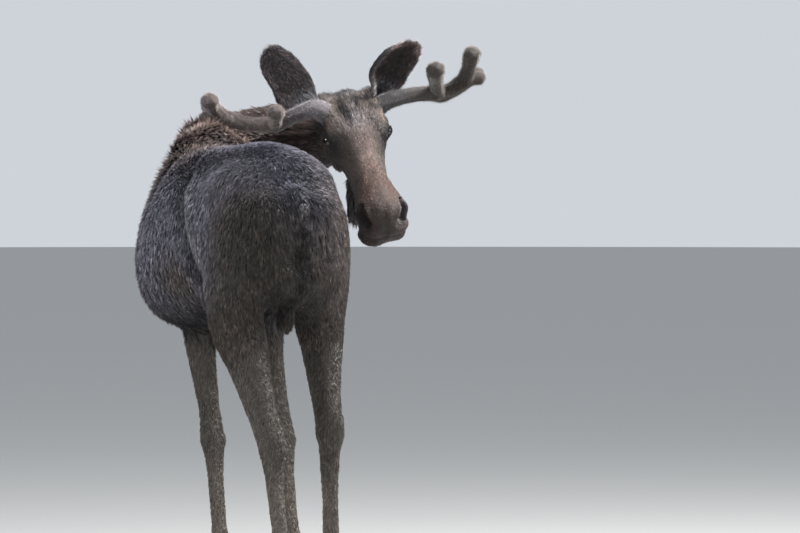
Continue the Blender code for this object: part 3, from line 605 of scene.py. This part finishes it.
# painted shade low on the rump, between the hind legs
dye_or_painted_light(pelt.near(rump(0, 0.22), (0.18, 0.14, 0.1)), (0.018, 0.015, 0.014), 0.95)
dye_or_painted_light(pelt.near(rump(-0.16, 0.5), (0.17, 0.25, 0.2)), (0.027, 0.022, 0.016), 0.9)
dye_or_painted_light(pelt.near(rump(0.2, 0.45), (0.1, 0.25, 0.25)), HAM, 0.7)
for leg in ("hind_left", "hind_right"):
    dye_or_painted_light(pelt.near(inside(leg + "_gaskin", 0.5, 0.5, 0.3), 0.09), TAN, 0.5)
mark((0.055, -0.07, 0.095), (0.035, 0.05, 0.03), (0.19, 0.155, 0.125), 0.8)
mark((0, 0.03, 0.088), (0.04, 0.03, 0.04), (0.18, 0.162, 0.168), 0.8, (1,))
mark((-0.006, 0.15, 0.06), (0.03, 0.1, 0.03), (0.125, 0.088, 0.082), 0.85, (1,))
mark((0.056, 0.13, 0.03), (0.02, 0.11, 0.04), (0.062, 0.046, 0.036), 0.85)
mark((0.07, 0.24, 0.02), (0.026, 0.07, 0.04), (0.075, 0.054, 0.045), 0.7)
mark((0, 0.25, 0.052), (0.05, 0.07, 0.04), (0.105, 0.062, 0.048), 0.8, (1,))
mark((0.046, 0.335, 0.042), (0.035, 0.05, 0.035), (0.08, 0.043, 0.03), 0.9)
mark((0, 0.3, 0.058), (0.014, 0.08, 0.03), (0.06, 0.038, 0.034), 0.7, (1,))
mark((0.088, 0.34, -0.05), (0.03, 0.07, 0.05), (0.05, 0.033, 0.029), 0.85)
# the front of the upper lip darkened: partly its own colour, partly painted shade on the down-facing front
mark((0.045, 0.43, -0.095), (0.045, 0.03, 0.04), (0.046, 0.034, 0.035), 0.85)
# painted shade down the cheeks and in the hollow of the lower cheek
mark((0.084, 0.12, -0.07), (0.034, 0.13, 0.06), (0.028, 0.021, 0.018), 0.9)
mark((0.092, 0.25, -0.08), (0.034, 0.07, 0.06), (0.04, 0.03, 0.028), 0.8)
# dark round the eye: partly its dark hair, partly painted shade under the brow
mark((0.106, 0.036, 0.0), (0.036, 0.056, 0.04), (0.017, 0.014, 0.013), 1.1)
mark((0.094, -0.004, 0.062), (0.024, 0.034, 0.016), (0.2, 0.155, 0.12), 0.8)
# painted shade in the sunk hollows on both sides of the forehead ridge
mark((0.046, -0.05, 0.095), (0.018, 0.034, 0.03), (0.03, 0.026, 0.028), 0.8, (1,))
mark((-0.014, -0.06, 0.1), (0.013, 0.03, 0.03), (0.03, 0.026, 0.028), 0.8, (1,))
mark((0.014, -0.01, 0.096), (0.02, 0.016, 0.03), (0.036, 0.032, 0.034), 0.8, (1,))
# a painted highlight along the crest of the forehead ridge
dye_or_painted_light(pelt.along(FOREHEAD_RIDGE[:2], 0.01), (0.11, 0.1, 0.1), 0.7)
mark((0, -0.14, 0.09), (0.08, 0.03, 0.03), (0.1, 0.092, 0.092), 0.6, (1,))
nostrils = sum(pelt.along([on_head(side * x, y, z) for x, y, z in NOSTRIL], 0.016) for side in (-1, 1))
bare = np.maximum(step(-9, -3, opening), 1.6 * nostrils)
bare = np.maximum(bare, 1.2 * pelt.along(mouth_line, 0.006))
bare = np.clip(np.maximum(bare, pelt.near(on_head(0, 0.44, -0.045), (0.016, 0.03, 0.03), HEAD_TURN)), 0, 1)
dye_or_painted_light(bare, (0.018, 0.014, 0.014), 0.8)
# the mouth line and the nostrils painted near black: partly their dark bare skin, partly painted shade in the
# groove and the pits
dye_or_painted_light(pelt.along(mouth_line, 0.01), (0.014, 0.011, 0.011), 1.2)
dye_or_painted_light(nostrils, (0.003, 0.002, 0.002), 1.8)

# the hide draws in by the coat's depth, but stays where an ear, antler or hoof grows out of it
BURR, EAR_FOOT = (0.1, -0.065, 0.075), (0.105, -0.14, 0.06)
bases = [(on_head(side * spot[0], *spot[1:]), reach) for spot, reach in ((BURR, 0.045), (EAR_FOOT, 0.05))
         for side in (1, -1)]
bases += [(middle(claw), 0.055) for claw in HOOVES] + [(middle(claw), 0.035) for claw in DEWCLAWS]
sunk = field[:, DEPTH] * (1 - bare)
for place, reach in bases:
    sunk *= 1 - np.exp(-(sizes(pelt.points - np.array(place)) / reach) ** 4)
pelt.raised(sunk, -1)
pelt.settle()

# ---- The hair ----
# Fur is made of tufts: thin solid blades, each a little lock of hairs, rooted in the skin, lying the
# way the coat lies and gathering in loose clumps. Long hair bends once on its way.
rng = np.random.default_rng(7)
BLADE = [(0, 1, 3), (0, 3, 2), (1, 2, 3), (0, 2, 1)]  # left, right, ridge, tip
BENT = [(0, 1, 4), (0, 4, 3), (0, 3, 5), (0, 5, 2), (1, 2, 5), (1, 5, 4), (3, 4, 6), (3, 6, 5), (4, 5, 6),
        (0, 2, 1)]
PATCH = 0.0015  # half of a tuft's patch on the map
ROOT_DEPTH = 0.0015


def unrolled(points, low, high):
    """Each point's place on a skin that is rolled out flat, like a label round a can."""
    axis = int(np.argmax(high - low))
    a, b = [i for i in range(3) if i != axis]
    centre = (low + high) / 2
    around = np.arctan2(points[:, b] - centre[b], points[:, a] - centre[a]) / math.tau + 0.5
    return np.stack([around, (points[:, axis] - low[axis]) / (high - low)[axis]], axis=1)


def tinted(mesh, colours):
    """Gives each corner of a mesh its colour."""
    paint = mesh.color_attributes.new("tint", "FLOAT_COLOR", "POINT")
    paint.data.foreach_set("color", np.hstack([colours, np.ones((len(colours), 1))]).ravel())


def meshed(name, points, triangles, places, tints):
    """A piece from arrays, with a map and a tint for each corner."""
    mesh = bpy.data.meshes.new(name)
    mesh.vertices.add(len(points))
    mesh.vertices.foreach_set("co", points.ravel())
    mesh.loops.add(triangles.size)
    mesh.loops.foreach_set("vertex_index", triangles.ravel())
    mesh.polygons.add(len(triangles))
    mesh.polygons.foreach_set("loop_start", np.arange(0, triangles.size, 3))
    mesh.update(calc_edges=True)
    layer = mesh.uv_layers.new(name="OFBake")
    layer.data.foreach_set("uv", places[triangles.ravel()].ravel())
    tinted(mesh, tints)
    piece = placed(name, mesh)
    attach(piece, "root")
    return piece


def tufts(name, root, reach, up, half, tint, place, bent=False, root_shade=0.35, tip_shade=2.3):
    """A piece of tufts, from each one's root, reach, upward way, half width, colour and place on the map."""
    foot = root - up * ROOT_DEPTH
    crown = foot + up * sizes(half)[:, None] * 0.8
    tip = root + reach
    if bent:
        knee = root + reach * 0.5 + up * sizes(reach)[:, None] * 0.1
        ridge = knee + (crown - foot) * 0.8
        corners = [foot - half, foot + half, crown, knee - half * 0.7, knee + half * 0.7, ridge, tip]
        shade = [root_shade] * 3 + [0.9, 0.9, 1.0, tip_shade]
        spots = [(-1, -1), (1, -1), (0, -1), (-1, 0), (1, 0), (0, 0), (0, 1)]
    else:
        corners = [foot - half, foot + half, crown, tip]
        shade = [root_shade, root_shade, root_shade * 1.2, tip_shade]
        spots = [(-1, -1), (1, -1), (0, 0), (0, 1)]
    shape = np.array(BENT if bent else BLADE)
    triangles = (np.arange(len(root))[:, None, None] * len(corners) + shape).reshape(-1, 3)
    patch = np.stack([place + np.array(spot) * PATCH for spot in spots], axis=1).reshape(-1, 2)
    tints = np.clip(np.stack([tint * value for value in shade], axis=1).reshape(-1, 3), 0.002, 1)
    piece = meshed(name, np.stack(corners, axis=1).reshape(-1, 3), triangles, patch, tints)
    piece.data.materials.append(hair.material)
    return piece


def fur(name, skin, field, chosen, count, places, bent=False, clump=7, gather=0.42, unruly=0.12, varied=0.42,
        root_shade=0.3, tip_shade=2.3):
    """Tufts over the chosen triangles of a skin. A clump's tufts share a shade and lean together."""
    a, b, c = (skin.points[skin.triangles[chosen][:, i]] for i in range(3))
    size = sizes(np.cross(b - a, c - a))
    mean = field[skin.triangles[chosen]].mean(axis=1)
    wanted = size / (mean[:, WIDTH] * mean[:, LENGTH] ** 0.7)
    pick = chosen[rng.choice(len(chosen), count, p=wanted / wanted.sum())]
    share = rng.random((count, 2))
    share = np.where(share.sum(axis=1, keepdims=True) > 1, 1 - share, share)
    share = np.hstack([share, 1 - share.sum(axis=1, keepdims=True)])[:, :, None]

    def blended(values):
        return (values[skin.triangles[pick]] * share).sum(axis=1)

    root, up, here = blended(skin.points), unit(blended(skin.normals)), blended(field)
    way = unit(here[:, WAY]) + rng.normal(0, unruly, (count, 3))
    way = unit(way - up * (way * up).sum(axis=1, keepdims=True))
    lift = np.radians(here[:, LIFT] * rng.uniform(0.6, 1.5, count))[:, None]
    length = here[:, LENGTH, None] * rng.uniform(0.65, 1.15, (count, 1))
    reach = length * (way * np.cos(lift) + up * np.sin(lift))
    heads = count // clump
    tree = KDTree(heads)
    for index, place in enumerate(root[:heads].tolist()):
        tree.insert(place, index)
    tree.balance()
    lock = np.array([tree.find(place)[1] for place in root.tolist()])
    reach += gather * (root[lock] + reach[lock] - root - reach)
    across = unit(np.cross(up, way)) + up * rng.normal(0, 0.45, (count, 1))
    half = across * here[:, WIDTH, None] * rng.uniform(0.35, 0.6, (count, 1))
    shade = np.exp(rng.normal(0, varied * 0.7, (count, 1)) + rng.normal(-0.05, varied, (heads, 1))[lock])
    tint = here[:, COLOUR] * np.clip(shade, 0.25, 3.5)
    return tufts(name, root, reach, up, half, tint, places(root, pick), bent, root_shade, tip_shade)


class Wire:
    """A number in a material, so that shader maths reads as plain maths."""

    def __init__(self, finish, socket):
        self.finish, self.socket = finish, socket

    def with_number(self, operation, first, second):
        return self.finish.node("Math", {"operation": operation}, {0: first, 1: second})

    def __add__(self, other):
        return self.with_number("ADD", self, other)

    def __sub__(self, other):
        return self.with_number("SUBTRACT", self, other)

    def __rsub__(self, other):
        return self.with_number("SUBTRACT", other, self)

    def __mul__(self, other):
        return self.with_number("MULTIPLY", self, other)

    __radd__, __rmul__ = __add__, __mul__


class Finish:
    """A material on a Principled shader."""

    def __init__(self, name, rough, **fixed):
        self.material = bpy.data.materials.new(name)
        self.material.use_nodes = True
        self.tree = self.material.node_tree
        self.shader = self.tree.nodes["Principled BSDF"]
        self.feed({"Roughness": rough, **{key.replace("_", " "): value for key, value in fixed.items()}})

    def feed(self, inputs, node=None):
        node = node or self.shader
        for key, value in inputs.items():
            if isinstance(value, Wire):
                self.tree.links.new(value.socket, node.inputs[key])
            else:
                node.inputs[key].default_value = value

    def node(self, kind, settings=None, inputs=None, output=0):
        made = self.tree.nodes.new("ShaderNode" + kind)
        for key, value in (settings or {}).items():
            setattr(made, key, value)
        self.feed(inputs or {}, made)
        return Wire(self, made.outputs[output])

    def mixed(self, share, first, second, blend="MIX"):
        """Two colours mixed."""
        settings = {"data_type": "RGBA", "blend_type": blend}
        return self.node("Mix", settings, {0: share, 6: first, 7: second}, 2)

    def attribute(self, name, output=0):
        return self.node("Attribute", {"attribute_name": name}, None, output)

    def noise(self, scale, detail=3.0, stretch=(1, 1, 1)):
        place = self.node("TexCoord", output=3)
        place = self.node("VectorMath", {"operation": "MULTIPLY"}, {0: place, 1: stretch})
        return self.node("TexNoise", None, {"Vector": place, "Scale": scale, "Detail": detail})

    def painted(self, share, tone):
        """Takes the piece's own tint, darkened by a share of a tone."""
        self.feed({"Base Color": self.mixed(share, self.attribute("tint"), (*tone, 1), "MULTIPLY")})

    def bumped(self, height, strength, distance):
        bump = self.node("Bump", None, {"Height": height, "Strength": strength, "Distance": distance})
        self.feed({"Normal": bump})

    def on(self, piece):
        """Puts it on a piece with smooth faces."""
        piece.data.materials.append(self.material)
        piece.data.shade_smooth()


hair = Finish("coat_hair", 0.48, Specular_IOR_Level=0.5, Specular_Tint=(0.85, 0.92, 1.0, 1))
hair.painted(hair.noise(38.0) * 0.6, (0.5, 0.45, 0.4))
face_owner = owner[pelt.triangles[:, 0]]
face_place = pelt.points[pelt.triangles].mean(axis=1)
haired = bare[pelt.triangles].mean(axis=1) < 0.5


def belongs(*words):
    return np.any([np.char.find(face_owner, word) >= 0 for word in words], axis=0)


def rolled(*parts):
    """Gives each tuft its place on the rolled out skins of the parts, side by side."""
    def places(points, pick):
        found = np.zeros((len(points), 2))
        for index, part in enumerate(parts):
            here = face_owner[pick] == part
            low, high = (np.array(corner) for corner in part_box(part))
            found[here] = (unrolled(points[here], low, high) + (index, 0)) / (len(parts), 1)
        low, high = found.min(axis=0), found.max(axis=0)
        return 0.01 + 0.98 * (found - low) / (high - low)
    return places


rear = face_place[:, 1] < inside("trunk", 0, 0.3, 0)[1]
fore = face_place[:, 1] > inside("trunk", 0, 0.66, 0)[1]
left = face_place[:, 0] < inside("trunk", 0.4, 0, 0)[0]
MANE_DEPTH = 0.0185
maned = field[pelt.triangles, DEPTH].mean(axis=1) > MANE_DEPTH
hind_shanks = [part for part in FLESH if "hind" in part and "thigh" not in part]
forelegs = [part for part in FLESH if "fore_" in part]
on_trunk = belongs("trunk")
COATS = [  # name, slot, where, tufts, the parts it lies on, bent or not
    ("coat_rump_left", "coat", on_trunk & rear & left, 36000, ("trunk",), False),
    ("coat_rump_right", "coat", on_trunk & rear & ~left, 27000, ("trunk",), False),
    ("coat_barrel_left", "coat", on_trunk & ~rear & ~fore & left, 28000, ("trunk",), False),
    ("coat_barrel_right", "coat", on_trunk & ~rear & ~fore & ~left, 25000, ("trunk",), False),
    ("coat_thighs", "coat", belongs("thigh"), 25000, ("hind_left_thigh", "hind_right_thigh"), False),
    ("coat_hind_legs", "leg_coat", belongs("hind") & ~belongs("thigh"), 26000, hind_shanks, False),
    ("coat_forelegs", "leg_coat", belongs("fore_"), 22000, forelegs, False),
    ("coat_shoulders", "coat", on_trunk & fore & ~maned, 21000, ("trunk",), False),
    ("coat_neck", "coat", belongs("neck") & ~maned, 24000, ("neck_lower", "neck_upper"), False),
    ("mane", "mane", belongs("trunk", "neck") & maned, 17000, ("trunk", "neck_lower", "neck_upper"), True),
    ("coat_bell_and_tail", "coat", belongs("bell", "tail"), 2600, ("bell", "tail"), True),
]
for name, slot, chosen, count, parts, bent in COATS:
    piece = fur(name, pelt, field, np.flatnonzero(chosen), count, rolled(*parts), bent,
                varied=0.22 if slot == "leg_coat" else 0.42)
piece = fur("coat_face", pelt, field, np.flatnonzero(belongs("head") & haired), 43000, rolled("head"),
            gather=0.25, varied=0.3, root_shade=0.7, tip_shade=1.35)

# the hide itself, dark between the tufts and bare on the nose, lips and lids
leather = Finish("hide", 0.75, Specular_IOR_Level=0.25)
on_legs = np.char.find(owner, "hind_") + np.char.find(owner, "fore_") > -2
dim = np.where(owner == "head", 0.85, np.where(on_legs, 0.6, 0.35))[:, None]
tinted(hide.data, field[:, COLOUR] * dim)
skin_bare = hide.data.attributes.new("bare", "FLOAT", "POINT")
skin_bare.data.foreach_set("value", bare)
grain = leather.noise(260.0, 2.0, (1, 1, 0.3))
leather.painted(grain, (0.55, 0.55, 0.55))
leather.feed({"Roughness": 0.75 - leather.attribute("bare", 2) * 0.25})
leather.bumped(grain, 0.5, 0.002)
leather.on(hide)
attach(hide, "root")
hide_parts(*FLESH)

# ---- The eyes ----
# Large, dark brown and wet, with a lying oval pupil that hardly shows. The ball is as big as the one
# under the lids, and long lashes stand out from the upper lid.
WHITE, IRIS, PUPIL = (0.022, 0.015, 0.013), (0.02, 0.01, 0.005), (0.002, 0.002, 0.003)
PUPIL_WIDE, PUPIL_TALL, IRIS_WIDE = 0.34, 0.2, 0.78  # shares of the ball's radius
CORNEA_HIGH, CORNEA_WIDE = 0.0012, 0.011
LASHES = 44
wet = Finish("eye", 0.1, Specular_IOR_Level=0.15, Coat_Weight=0.8, Coat_Roughness=0.02)
wet.feed({"Base Color": wet.attribute("tint")})
lash_root, lash_reach, lash_up = [], [], []
for side, name in ((-1, "eye_left"), (1, "eye_right")):
    gaze, length, height = looking(side)
    bm = bmesh.new()
    bmesh.ops.create_uvsphere(bm, u_segments=64, v_segments=48, radius=EYE_ROUND - 0.0004)
    turn = Matrix((length, height, gaze)).transposed()
    for vert in bm.verts:
        bulge = math.exp(-(vert.co.xy.length / CORNEA_WIDE) ** 2) * (vert.co.z > 0)
        vert.co = turn @ vert.co + gaze * CORNEA_HIGH * bulge + EYES[side]
    ball = cast(bm, name + "_ball")
    colours = []
    for vert in ball.data.vertices:
        gap = (vert.co - EYES[side]).normalized()
        wide, tall = gap.dot(length), gap.dot(height)
        radius = math.hypot(wide, tall)
        if gap.dot(gaze) < 0 or radius > IRIS_WIDE:
            colours.append(WHITE)
        elif math.hypot(wide / PUPIL_WIDE, tall / PUPIL_TALL) < 1:
            colours.append(PUPIL)
        else:
            colours.append((IRIS[0] * (1.2 - radius), IRIS[1] * (1.2 - radius), IRIS[2]))
    tinted(ball.data, np.array(colours))
    wet.on(ball)
    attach(ball, "root")
    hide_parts(name)
    for index in range(LASHES):
        across = math.radians(-50 + 100 * index / (LASHES - 1))
        rise = math.radians(35 * (1 - (across / math.radians(EYE_WIDE)) ** 2))
        way = length * math.sin(across) + height * math.sin(rise) + gaze * math.cos(across) * math.cos(rise)
        way.normalize()
        lash_root.append(EYES[side] + way * (EYE_ROUND + LID * 0.7))
        lash_reach.append((way + height * 0.1 + length * rng.normal(0, 0.12)) * rng.uniform(0.01, 0.016))
        lash_up.append(height)
lash_root, lash_reach, lash_up = (np.array(rows) for rows in (lash_root, lash_reach, lash_up))
lash_half = unit(np.cross(lash_reach, lash_up)) * 0.0005
lash_place = 0.01 + 0.98 * unrolled(lash_root, lash_root.min(axis=0), lash_root.max(axis=0))
lash_tint = np.full(lash_root.shape, 0.012)
lashes = tufts("lashes", lash_root, lash_reach, lash_up, lash_half, lash_tint, lash_place)

# ---- The ears ----
# Broad leaves of gristle under short fur, rolled at the root, with a blunt tip and a dark rim. The dark
# hollow is full of long pale hairs, which lean across it from its edges.
EAR_ROOT = (0.108, -0.14, 0.058)
EARS = [  # side, name, way its hollow faces, breadth, lobe, how far the blade swings, tone of the tip
    (-1, "ear_left", (-0.42, 0.8, 0.45), 1.2, 0.2, 0.018, (0.008, 0.002, 0.0)),
    (1, "ear_right", (0.35, 0.8, 0.45), 1.06, 0.5, 0.0, (0, 0, 0)),
]
HOLLOW, HOLLOW_EDGE = (0.048, 0.036, 0.034), (0.05, 0.042, 0.044)
EAR_BACK, EAR_RIM, EAR_BASE = (0.058, 0.046, 0.041), (0.02, 0.017, 0.018), (0.12, 0.13, 0.14)


def spans(far, wide, stops, reach):
    """The lowest and highest of the widths at each stop along a blade."""
    near = [wide[np.abs(far - stop) < reach] for stop in stops]
    return np.array([(band.min(), band.max()) for band in near])


def wrapped(skin):
    """Gives each tuft its place on the rolled out skin."""
    low, high = skin.points.min(axis=0), skin.points.max(axis=0)

    def places(points, pick):
        return 0.01 + 0.98 * np.clip(unrolled(points, low, high), 0, 1)
    return places


for side, name, facing, breadth, lobed, swing, tip_tone in EARS:
    ear = skinned([name], name + "_skin", 0.003, 0.0)
    skin = Pelt(ear)
    skin.smooth(8, 0.45)
    root = np.array(on_head(side * EAR_ROOT[0], *EAR_ROOT[1:]))
    tip = skin.points[np.argmax(sizes(skin.points - root))]
    length = sizes(tip - root)
    along = (tip - root) / length
    front = np.array(along_head(*facing))
    front = unit(front - along * (front @ along))
    across = np.cross(along, front)
    gap = skin.points - root
    far, wide, deep = gap @ along / length, gap @ across, gap @ front
    stops = np.linspace(0, 1, 11)
    middle_wide = np.interp(far, stops, spans(far, wide, stops, 0.06).mean(axis=1))
    broader = breadth * np.clip((np.clip(1 - far, 0.02, 1) / 0.5) ** -0.34, 1, 2.1)
    lobe = np.exp(-((far - 0.3) / 0.2) ** 2) * lobed
    wide = middle_wide + (wide - middle_wide) * broader * (1 + lobe * (wide < middle_wide))
    wide -= swing * step(0.15, 0.55, far) * (1 - 0.7 * step(0.8, 1.0, far))
    skin.points = root + far[:, None] * length * along + wide[:, None] * across + deep[:, None] * front
    skin.smooth(3, 0.4)
    stops = np.linspace(0, 1, 21)
    half_width = np.interp(far, stops, np.abs(spans(far, wide - middle_wide, stops, 0.04)).max(axis=1))
    edge = np.clip(np.abs(wide - middle_wide) / np.maximum(half_width, 0.004), 0, 1)
    inner = step(-0.1, 0.4, skin.normals @ front)
    hollow = np.array(HOLLOW) + np.outer(step(0.45, 0.85, edge), HOLLOW_EDGE)
    hollow = hollow + np.outer(step(0.55, 0.9, far), tip_tone)
    colour = hollow * inner[:, None] + np.outer(1 - inner, EAR_BACK)
    rim = step(0.86, 0.97, edge) * step(0.1, 0.25, far)
    colour = colour * (1 - rim[:, None]) + np.outer(rim, EAR_RIM)
    base_pale = 1 - step(0.08, 0.3, far)
    colour = colour + np.outer(base_pale * inner, EAR_BASE)
    inward = np.sign(wide - middle_wide) * inner * step(0.5, 0.95, edge) * 0.8
    long, lift = np.where(inner > 0.5, 0.02, 0.011), np.where(inner > 0.5, 22, 15)
    ear_field = np.column_stack([unit(along - np.outer(inward, across)), long, np.full(len(far), 0.0017),
                                 lift, np.zeros(len(far)), colour])
    inner_face = inner[skin.triangles].mean(axis=1) > 0.5
    for part, chosen, count, shade in (("back", ~inner_face, 5200, 1.6), ("hollow", inner_face, 4400, 2.8)):
        piece = fur(f"coat_{name}_{part}", skin, ear_field, np.flatnonzero(chosen), count, wrapped(skin),
                    gather=0.2, tip_shade=shade)
    # the gristle under the fur at half the coat's colour: painted shade between the hairs
    tinted(ear.data, colour * 0.5)
    gristle = Finish(name, 0.65, Sheen_Weight=0.2)
    gristle.painted(gristle.noise(160.0), (0.5, 0.5, 0.5))
    gristle.bumped(gristle.noise(220.0, 3.0), 0.4, 0.002)
    gristle.on(ear)
    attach(ear, "root")
    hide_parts(name)

# ---- The antlers ----
# Still growing, with blunt round ends, under velvet: skin with a short thick pile that stands off it,
# grey-brown and paler at the tips of the pile.
# The pale tips over a darker skin stand in for the bright rim of backlit velvet, and the bluish tone towards
# the head is a painted sky sheen.
# The right antler is painted paler and bluer than the left: painted light on the lit one and painted shade on
# the other.
VELVET = {-1: (0.046, 0.036, 0.03), 1: (0.108, 0.088, 0.082)}
BLUISH_SHEEN = {-1: (0.01, 0.016, 0.024), 1: (0.048, 0.054, 0.074)}
PILE = (0.0075, 0.0011, 64.0, 0)  # length, width, lift and depth
# where the stub of each beam's lowest knob begins and ends, in the head's frame
LOWER_KNOBS = {-1: ((-0.425, -0.117, 0.068), (-0.48, -0.122, 0.062)),
               1: ((0.44, -0.116, 0.062), (0.518, -0.126, 0.08))}
for side, name in ((-1, "left"), (1, "right")):
    branches = [part for part in sorted(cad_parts) if part.startswith(f"antler_{name}")]
    start, end = (on_head(*spot) for spot in LOWER_KNOBS[side])
    stub = [(start.lerp(end, share), 0.017 + 0.004 * share) for share in np.linspace(0, 1, 7)]
    antler = skinned(branches, f"antler_{name}", 0.0036, 0.003, stub)
    skin = Pelt(antler)
    skin.smooth(14, 0.5)
    root = np.array(on_head(side * 0.095, -0.065, 0.068))
    for branch in branches:
        if not branch.endswith("beam"):
            ends = np.array([vert.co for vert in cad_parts[branch].data.vertices])
            blunt = ends[np.argmax(sizes(ends - root))]
            skin.raised(skin.near(blunt, 0.024), 0.0025)
    skin.settle()
    gap = skin.points - root
    base = 1 - step(0.07, 0.21, sizes(gap))
    colour = np.array(VELVET[side]) + np.outer(base, BLUISH_SHEEN[side])
    antler_field = np.column_stack([unit(gap), np.tile(PILE, (len(gap), 1)), colour])
    pile = fur(f"velvet_{name}", skin, antler_field, np.arange(len(skin.triangles)), 15000, wrapped(skin),
               gather=0.1, unruly=0.3, varied=0.3, root_shade=0.5, tip_shade=5.0)
    # the skin under the pile is darker than the pile, so that the antler's middle reads dark and its rim
    # pale: painted light
    tinted(antler.data, colour * 0.7)
    velvet = Finish(f"velvet_skin_{name}", 0.8, Sheen_Weight=0.7, Sheen_Roughness=0.35,
                    Sheen_Tint=(0.95, 0.9, 0.85, 1))
    pores = velvet.noise(300.0, 3.0)
    velvet.painted(pores * 0.8, (0.35, 0.33, 0.32))
    velvet.bumped(pores + velvet.noise(60.0, 2.0) * 1.5, 0.5, 0.003)
    velvet.on(antler)
    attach(antler, "root")
    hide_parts(*branches)

# ---- The hooves ----
# Long pointed cloven hooves of dark horn with growth rings round them, flat underneath, and two small
# dewclaws behind each foot.
horn = Finish("horn", 0.42, Specular_IOR_Level=0.5)
streaks = horn.noise(120.0, 3.0, (1, 1, 0.15))
rings = horn.noise(420.0, 1.0, (0.04, 0.04, 1))
horn.feed({"Base Color": horn.mixed(streaks, (0.006, 0.005, 0.005, 1), (0.026, 0.021, 0.018, 1)),
           "Roughness": 0.35 + streaks * 0.3})
horn.bumped(rings + streaks * 0.3, 0.5, 0.0015)
for part in sorted(HOOVES + DEWCLAWS):
    claw = skinned([part], part + "_horn", 0.0032 if part in HOOVES else 0.0022, 0.0)
    shell = Pelt(claw)
    sole = step(0.004, 0.01, shell.points[:, 2])[:, None]
    shell.smooth(8, 0.4 * sole)
    centre = np.array(middle(part))
    if part in HOOVES:
        rise = (shell.points[:, 2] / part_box(part)[1].z)[:, None]
        shell.smooth(110, 0.5 * step(0.4, 0.8, rise))
        shell.points = shell.points + (centre - shell.points) * (0.22, 0.12, 0) * step(0.3, 1.0, rise)
    else:
        shell.points = centre + (0, 0.01, 0) + (shell.points - centre) * 0.85
    shell.points[:, 2] = np.maximum(shell.points[:, 2], 0)
    shell.settle()
    horn.on(claw)
    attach(claw, "root")
    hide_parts(part)

# ---- Floor, light and camera ----
# A round pale floor under an even sky, a big soft lamp high on the right and two weaker ones at the
# sides. The camera stands far off behind the left haunch.
bm = bmesh.new()
bmesh.ops.create_circle(bm, cap_ends=True, segments=128, radius=40)
floor = cast(bm, "floor")
floor.data.materials.append(Finish("floor", 0.8, Base_Color=(0.42, 0.42, 0.41, 1)).material)

world = bpy.data.worlds.new("studio")
world.use_nodes = True
sky = world.node_tree.nodes["Background"].inputs
sky["Color"].default_value = (0.88, 0.93, 1.0, 1)
sky["Strength"].default_value = 0.7
bpy.context.scene.world = world
bpy.context.scene.view_settings.view_transform = "Standard"


def soft_light(name, place, aim, size, watts, colour):
    light = bpy.data.lights.new(name, "AREA")
    light.shape, light.size, light.energy, light.color = "DISK", size, watts, colour
    lamp = placed(name, light)
    lamp.location = place
    lamp.rotation_euler = (Vector(aim) - Vector(place)).to_track_quat("-Z", "Y").to_euler()


soft_light("sky_light", (2.6, -1.2, 5.4), (0, 0, 1.3), 2.0, 860, (1.0, 0.98, 0.96))
soft_light("side_light", (6.5, -0.6, 2.8), (0, 0.2, 1.7), 1.6, 70, (1.0, 1.0, 1.0))
soft_light("rear_light", (-6.0, -2.5, 3.5), (0, 0, 1.2), 2.5, 300, (0.93, 0.96, 1.0))

VIEW_SIDE, VIEW_RISE, VIEW_AWAY = math.radians(-21.5), math.radians(2.0), 24.0
aim = Vector((middle("tail").x + 0.338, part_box("trunk")[0].y - 0.002, 1.242))
toward = Matrix.Rotation(VIEW_SIDE, 3, "Z") @ Vector((0, -math.cos(VIEW_RISE), math.sin(VIEW_RISE)))
lens = bpy.data.cameras.new("camera")
lens.lens = 319
lens.clip_end = 200
camera = placed("camera", lens)
camera.location = aim + toward * VIEW_AWAY
camera.rotation_euler = (-toward).to_track_quat("-Z", "Y").to_euler()
bpy.context.scene.camera = camera
